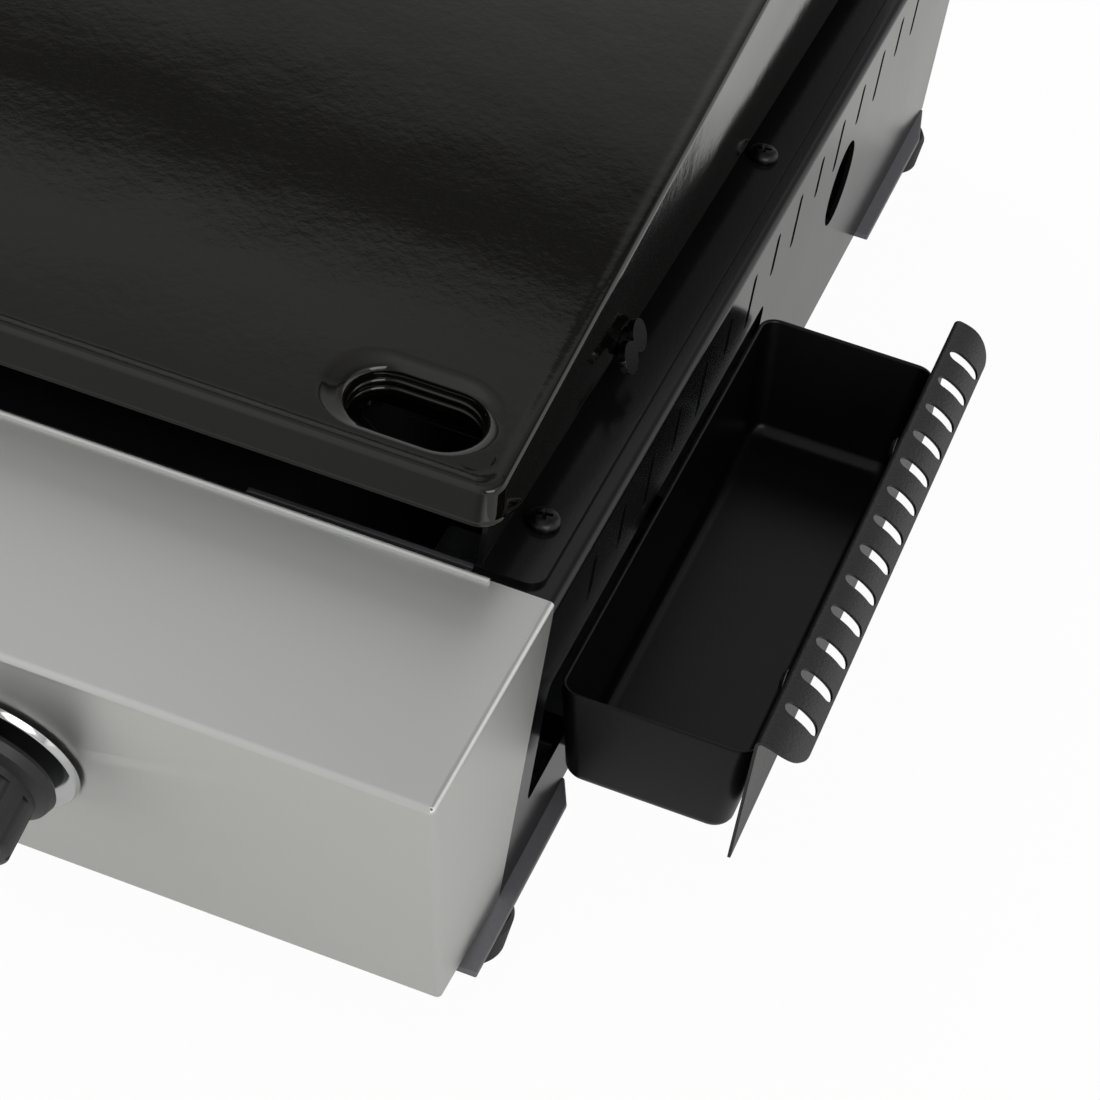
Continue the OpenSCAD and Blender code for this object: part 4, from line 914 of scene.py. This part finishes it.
class GRIDDLE_OT_drawer(bpy.types.Operator):
    """Makes the pressed tray of the fat drawer"""

    bl_idname = "griddle.drawer"
    bl_label = "Fat drawer"

    def execute(self, context):
        sizes = context.scene.griddle_drawer
        height = TRAY_HIGH.z - TRAY_LOW.z
        marks = [TRAY_LOW.y + 40 * MM + i * 12 * MM for i in range(11)]

        def ring(inset, up, spread_out=0.0):
            """Outline of the tray at a height over its foot."""
            taper = 1 - up / height
            dx = inset + sizes.taper_x * taper
            dy = inset + sizes.taper_y * taper
            radius = sizes.corner - min(inset, sizes.wall) + spread_out
            low = (TRAY_LOW.x + dx, TRAY_LOW.y + dy)
            high = (TRAY_HIGH.x - dx, TRAY_HIGH.y - dy)
            return [(x, y, TRAY_LOW.z + up) for x, y in outline(low, high, radius, (), marks, 12)]

        def bend(radius, base, wall):
            """Rings of the fold between floor and wall, from the floor up."""
            steps = [math.radians(90 * i / 8) for i in range(9)]
            return [
                ring(wall + radius * (1 - math.sin(a)), base + radius * (1 - math.cos(a))) for a in steps
            ]

        wall, fold = sizes.wall, sizes.fillet
        outside = [ring(fold + 0.8 * MM, 0), *bend(fold, 0, 0)]
        lip = [
            ring(0, height - 0.7 * MM),
            ring(0.06 * MM, height - 0.3 * MM),
            ring(0.3 * MM, height - 0.04 * MM),
            ring(0.6 * MM, height),
            ring(0.9 * MM, height - 0.04 * MM),
            ring(wall - 0.06 * MM, height - 0.3 * MM),
            ring(wall, height - 0.7 * MM),
        ]
        inside = [*reversed(bend(fold - wall, wall, wall)), ring(fold + 0.8 * MM, wall)]
        shape = bmesh.new()
        foot, floor = add_rings(shape, outside + lip + inside)
        shape.faces.new(foot)
        shape.faces.new(floor)
        tray = new_piece("drawer_tray_pressing", shape, 60)
        coat = matt_tray_coat()
        dress(tray, "drawer_tray", coat)
        return {"FINISHED"}


class GRIDDLE_OT_ribs(bpy.types.Operator):
    """Presses the ribs of the deck's strip in front of the drip cut-out"""

    bl_idname = "griddle.ribs"
    bl_label = "Deck ribs"

    def execute(self, context):
        sizes = context.scene.griddle_ribs
        chute_low, chute_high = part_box("drip_chute")
        x0, x1 = chute_low.x - sizes.reach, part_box("rail_right")[0].x - 0.3 * MM
        front, base = SHELL_LOW.y + sizes.setback, DECK_Z - 0.2 * MM
        profile = [(front, base)]
        for i in range(sizes.count):
            centre = (front + (i + 0.5) * sizes.pitch, DECK_Z)
            across = arc_points(centre, sizes.pitch * 0.42, 180, 0, 8)
            profile += [(y, DECK_Z + (z - DECK_Z) * sizes.height / (sizes.pitch * 0.42)) for y, z in across]
        profile += [(front + sizes.count * sizes.pitch, base)]
        ends = [(0, 0.0), (0.35, 0.6), (0.9, 0.9), (1.8, 1.0)]
        marks = [(x0 + d * MM, share) for d, share in ends] + [(x1, 1.0)]
        shape = bmesh.new()
        rings = [[(x, y, base + (z - base) * max(share, 0.01)) for y, z in profile] for x, share in marks]
        for loop in add_rings(shape, rings):
            shape.faces.new(loop)
        ribs = new_piece("deck_ribs", shape, 50)
        # the ribs get a lighter grey than the deck: painted light where they catch it
        dress(ribs, "body", finish_of("rib_coat_painted_light"), replace=False)
        return {"FINISHED"}


class GRIDDLE_OT_handle(bpy.types.Operator):
    """Bends the drawer's handle plate, rolls its lip and punches the slots"""

    bl_idname = "griddle.handle"
    bl_label = "Drawer handle"

    def execute(self, context):
        sizes = context.scene.griddle_handle
        low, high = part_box("drawer_handle")
        first, last = math.pi / 2 - sizes.start, math.pi / 2 - sizes.stop
        small = Vector((low.x + sizes.bend, high.z - sizes.bend))
        large = small + (sizes.bend - sizes.curve) * Vector((math.cos(first), math.sin(first)))
        turns = [(small, sizes.bend, math.pi + (first - math.pi) * i / 8) for i in range(8)]
        turns += [(large, sizes.curve, last + (first - last) * (1 - i / 24) ** 2) for i in range(25)]
        outer, inner, run = [Vector((low.x, low.z))], [Vector((low.x + sizes.sheet, low.z))], [0.0]
        for centre, radius, angle in turns:
            way = Vector((math.cos(angle), math.sin(angle)))
            outer.append(centre + way * radius)
            inner.append(centre + way * (radius - sizes.sheet))
            run.append(run[-1] + (outer[-1] - outer[-2]).length)
        draw = []
        for length in run:
            left = max(sizes.corner - (run[-1] - length), 0)
            draw.append(sizes.corner - math.sqrt(max(sizes.corner**2 - left**2, 0)))
        shape = bmesh.new()
        columns = [i / 28 for i in range(29)]
        rings = []
        for part in columns:
            along = [low.y + d + (high.y - low.y - 2 * d) * part for d in draw]
            ring = [(p.x, y, p.y) for p, y in zip(outer, along)]
            ring += reversed([(p.x, y, p.y) for p, y in zip(inner, along)])
            rings.append(ring)
        for end in add_rings(shape, rings):
            for i in range(len(outer) - 1):
                shape.faces.new((end[i], end[i + 1], end[-2 - i], end[-1 - i]))
        bare = new_piece("handle_blank", shape)
        cut = cut_away(bare, self.punch(sizes, large, (first + last) / 2, (low.y + high.y) / 2), "drawer_handle_sheet")
        edges = cut.modifiers.new("Edges", "BEVEL")
        edges.width = 0.25 * MM
        edges.segments = 2
        edges.limit_method = "ANGLE"
        edges.angle_limit = math.radians(40)
        dress(cut, "drawer_handle")
        return {"FINISHED"}

    def punch(self, sizes, centre, angle, middle):
        """The round-ended bars that punch the slots, square to the lip at its middle."""
        out = Vector((math.cos(angle), 0, math.sin(angle)))
        down = Vector((math.sin(angle), 0, -math.cos(angle)))
        seat = Vector((centre.x, middle, centre.y)) + out * sizes.curve
        half, end = sizes.slot_length / 2 - sizes.slot_width / 2, sizes.slot_width / 2
        shape = bmesh.new()
        for i in range(sizes.slots):
            place = seat + Vector((0, (i - (sizes.slots - 1) / 2) * sizes.pitch, 0))
            face = arc_points((half, 0), end, -90, 90, 10) + arc_points((-half, 0), end, 90, 270, 10)
            rings = [
                [place + down * u + Vector((0, v, 0)) + out * depth * MM for u, v in face] for depth in (-6, 3)
            ]
            for loop in add_rings(shape, rings):
                shape.faces.new(loop)
        return new_piece("handle_punch", shape)


class GRIDDLE_OT_fasteners(bpy.types.Operator):
    """Sets the cross-recessed screws of the rails and the back"""

    bl_idname = "griddle.fasteners"
    bl_label = "Screws"

    def head(self, radius, height):
        """A pan head with a cross recess, its seat at the origin."""
        shape = bmesh.new()
        profile = [
            (0, 0), (0.93, 0), (1.0, 0.1), (1.0, 0.32), (0.97, 0.5), (0.88, 0.72), (0.72, 0.88), (0.5, 0.97), (0, 1.0),
        ]
        points = [(radius * r, 0, height * h) for r, h in profile]
        verts = [shape.verts.new(p) for p in points]
        edges = [shape.edges.new(pair) for pair in zip(verts, verts[1:])]
        bmesh.ops.spin(
            shape, geom=verts + edges, cent=(0, 0, 0), axis=(0, 0, 1), angle=math.tau, steps=36, use_duplicate=False
        )
        bare = new_piece("screw_head_blank", shape)
        cross = bmesh.new()
        for turn in (0, 90):
            arm = bmesh.ops.create_cube(cross, size=1)["verts"]
            for vert in arm:
                tip = 0.58 if vert.co.z > 0 else 0.3
                vert.co.x *= 2 * radius * tip
                vert.co.y *= 0.24 * radius
                vert.co.z = height * (1.3 if vert.co.z > 0 else 0.32)
            bmesh.ops.rotate(cross, verts=arm, cent=(0, 0, 0), matrix=Matrix.Rotation(math.radians(turn), 3, "Z"))
        return cut_away(bare, new_piece("screw_recess", cross), "screw_head")

    def tree(self):
        """Sets a head on every point, tilted to the sheet, each at its own angle."""
        tree, inputs = geometry_tree(
            "screws_on_points",
            (
                ("Head", "NodeSocketObject"),
                ("Tilt", "NodeSocketVector"),
                ("Spin Seed", "NodeSocketInt"),
                ("Finish", "NodeSocketMaterial"),
            ),
        )
        head = add(tree, "GeometryNodeObjectInfo", {"Object": inputs.outputs["Head"]})
        set_on = add(
            tree,
            "GeometryNodeInstanceOnPoints",
            {
                "Points": inputs.outputs["Geometry"],
                "Instance": head.outputs["Geometry"],
                "Rotation": inputs.outputs["Tilt"],
            },
        )
        spin = add(
            tree, "FunctionNodeRandomValue", {"Seed": inputs.outputs["Spin Seed"]}, data_type="FLOAT_VECTOR"
        )
        spin.inputs[0].default_value = (0, 0, 0)
        spin.inputs[1].default_value = (0, 0, math.pi / 2)
        turned = add(
            tree,
            "GeometryNodeRotateInstances",
            {"Instances": set_on.outputs[0], "Rotation": spin.outputs[0]},
        )
        turned.inputs["Local Space"].default_value = True
        close_tree(tree, turned.outputs[0], inputs.outputs["Finish"])
        return tree

    def execute(self, context):
        sizes = context.scene.griddle_fasteners
        tree = self.tree()
        rows = (
            ("rail_screws_right", sizes.rail_head, 3.2 * MM, (0, 0, 0)),
            ("rail_screws_left", sizes.rail_head, 3.2 * MM, (0, 0, 0)),
            ("back_screws", sizes.back_head, 2.6 * MM, (-math.pi / 2, 0, 0)),
        )
        for node, width, height, tilt in rows:
            head = self.head(width / 2, height)
            seats = bpy.data.meshes.new(node + "_seats")
            seats.from_pydata(screw_seats(node, height), [], [])
            source = bpy.data.objects.new(node + "_seats", seats)
            context.scene.collection.objects.link(source)
            values = {
                "Head": head,
                "Tilt": tilt,
                "Spin Seed": sizes.spin_seed,
                "Finish": finish_of("screw_black"),
            }
            made = run_geometry_nodes(node + "_heads", source, tree, values)
            bpy.data.objects.remove(head)
            dress(made, node)
        return {"FINISHED"}


def screw_seats(node, height):
    """Where the heads of a CAD node's screws sit, from its loose solids."""
    mesh = frame["nodes"][node].data
    shape = bmesh.new()
    shape.from_mesh(mesh)
    bmesh.ops.remove_doubles(shape, verts=shape.verts, dist=1e-6)
    seats, seen = [], set()
    for start in shape.verts:
        if start in seen:
            continue
        seen.add(start)
        group = [start]
        for vert in group:
            others = [edge.other_vert(vert) for edge in vert.link_edges]
            fresh = [other for other in others if other not in seen]
            seen.update(fresh)
            group += fresh
        low = Vector([min(v.co[i] for v in group) for i in range(3)])
        high = Vector([max(v.co[i] for v in group) for i in range(3)])
        mid = (low + high) / 2
        if node == "back_screws":
            seats.append((mid.x, high.y - height, mid.z))
        else:
            seats.append((mid.x, mid.y, high.z - height))
    shape.free()
    return seats


class GRIDDLE_OT_pipe(bpy.types.Operator):
    """Bends the gas pipe along its path, from the valves round to the inlet at the back"""

    bl_idname = "griddle.pipe"
    bl_label = "Gas pipe"

    def tree(self):
        """Rounds the corners of a path and draws a closed tube along it."""
        sockets = (("Radius", "NodeSocketFloat"), ("Bend", "NodeSocketFloat"), ("Finish", "NodeSocketMaterial"))
        tree, inputs = geometry_tree("tube_on_path", sockets)
        path = add(tree, "GeometryNodeMeshToCurve", {"Mesh": inputs.outputs["Geometry"]})
        bent = add(
            tree,
            "GeometryNodeFilletCurve",
            {"Curve": path, "Radius": inputs.outputs["Bend"], "Count": 14, "Limit Radius": True},
            mode="POLY",
        )
        ring = add(tree, "GeometryNodeCurvePrimitiveCircle", {"Resolution": 32, "Radius": inputs.outputs["Radius"]})
        tube = add(tree, "GeometryNodeCurveToMesh", {"Curve": bent, "Profile Curve": ring, "Fill Caps": True})
        close_tree(tree, tube.outputs[0], inputs.outputs["Finish"])
        return tree

    def execute(self, context):
        low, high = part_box("gas_pipe")
        radius = (high.z - low.z) / 2
        height = (high.z + low.z) / 2
        path = bpy.data.meshes.new("gas_pipe_path")
        corners = [
            (high.x, low.y + radius, height),
            (low.x + radius, low.y + radius, height),
            (low.x + radius, high.y, height),
        ]
        path.from_pydata(corners, [(0, 1), (1, 2)], [])
        source = bpy.data.objects.new("gas_pipe_path", path)
        context.scene.collection.objects.link(source)
        values = {"Radius": radius, "Bend": 26 * MM, "Finish": finish_of("pipe_steel")}
        tube = run_geometry_nodes("bent_gas_pipe", source, self.tree(), values)
        tube.data.shade_smooth()
        tube.data.set_sharp_from_angle(angle=math.radians(50))
        dress(tube, "gas_pipe")
        return {"FINISHED"}


class GRIDDLE_OT_nodes(bpy.types.Operator):
    """Finishes the CAD nodes that stay: rounds their edges a little and gives each its material"""

    bl_idname = "griddle.nodes"
    bl_label = "Sheet metal, burners and knobs"

    def execute(self, context):
        softer = {"control_box": 0.35, "foot": 0.5, "knob": 0.6, "igniter": 0.5, "thumbscrew": 0.7, "valve": 0.4}
        for name, node in frame["nodes"].items():
            width = next((w for start, w in softer.items() if name.startswith(start)), 0.3)
            node.data.materials.clear()
            # the foot plates get the flat grey, which is partly a painted reflection
            node.data.materials.append(finish_of("foot_grey_and_reflection" if name.startswith("foot_plate") else slot_of_node(name)))
            node.data.shade_smooth()
            weld = node.modifiers.new("Merge", "WELD")
            weld.merge_threshold = 1e-6
            flat = node.modifiers.new("Flat faces", "DECIMATE")
            flat.decimate_type = "DISSOLVE"
            flat.angle_limit = math.radians(0.5)
            bevel = node.modifiers.new("Edges", "BEVEL")
            bevel.width = width * MM
            bevel.segments = 2
            bevel.limit_method = "ANGLE"
            bevel.angle_limit = math.radians(32)
            # the rim faces of a thumbscrew's head get light metal: a painted highlight for the glint of their edges
            if name.startswith("thumbscrew"):
                node.data.materials.append(finish_of("painted_rim_highlight"))
                reach = max(abs(vert.co.x - MID_X) for vert in node.data.vertices)
                for face in node.data.polygons:
                    in_head = abs(face.center.x - MID_X) > reach - 3.2 * MM
                    face.material_index = int(in_head and abs(face.normal.x) < 0.6)
            normals = node.modifiers.new("Normals", "WEIGHTED_NORMAL")
            normals.weight = 50
        return {"FINISHED"}


class GRIDDLE_PT_panel(bpy.types.Panel):
    """Lists the griddle's sizes and the pieces that can be made"""

    bl_label = "Gas Griddle"
    bl_idname = "GRIDDLE_PT_panel"
    bl_space_type = "VIEW_3D"
    bl_region_type = "UI"
    bl_category = "Griddle"

    def draw(self, context):
        for group in GROUPS:
            settings = getattr(context.scene, group)
            box = self.layout.box()
            for key in settings.__annotations__:
                box.prop(settings, key)
        for kind in OPERATORS:
            self.layout.operator(kind.bl_idname)


GROUPS = {
    "griddle_plate": GriddlePlateSizes,
    "griddle_drawer": GriddleDrawerSizes,
    "griddle_handle": GriddleHandleSizes,
    "griddle_ribs": GriddleRibSizes,
    "griddle_box": GriddleBoxSizes,
    "griddle_fasteners": GriddleFastenerSizes,
    "griddle_finishes": GriddleFinishes,
    "griddle_stage": GriddleStage,
}
OPERATORS = (
    GRIDDLE_OT_stage,
    GRIDDLE_OT_nodes,
    GRIDDLE_OT_box,
    GRIDDLE_OT_plate,
    GRIDDLE_OT_drawer,
    GRIDDLE_OT_handle,
    GRIDDLE_OT_ribs,
    GRIDDLE_OT_fasteners,
    GRIDDLE_OT_pipe,
)


def register():
    """Registers the sizes, the operators and the panel."""
    for name, group in GROUPS.items():
        bpy.utils.register_class(group)
        setattr(bpy.types.Scene, name, bpy.props.PointerProperty(type=group))
    for kind in (*OPERATORS, GRIDDLE_PT_panel):
        bpy.utils.register_class(kind)


def unregister():
    """Takes them out again."""
    for kind in (GRIDDLE_PT_panel, *reversed(OPERATORS)):
        bpy.utils.unregister_class(kind)
    for name, group in reversed(GROUPS.items()):
        delattr(bpy.types.Scene, name)
        bpy.utils.unregister_class(group)


def main():
    """Makes the whole griddle."""
    register()
    bpy.ops.griddle.stage()
    bpy.ops.griddle.nodes()
    bpy.ops.griddle.box()
    bpy.ops.griddle.plate()
    bpy.ops.griddle.drawer()
    bpy.ops.griddle.handle()
    bpy.ops.griddle.ribs()
    bpy.ops.griddle.fasteners()
    bpy.ops.griddle.pipe()


if __name__ == "__main__":
    main()
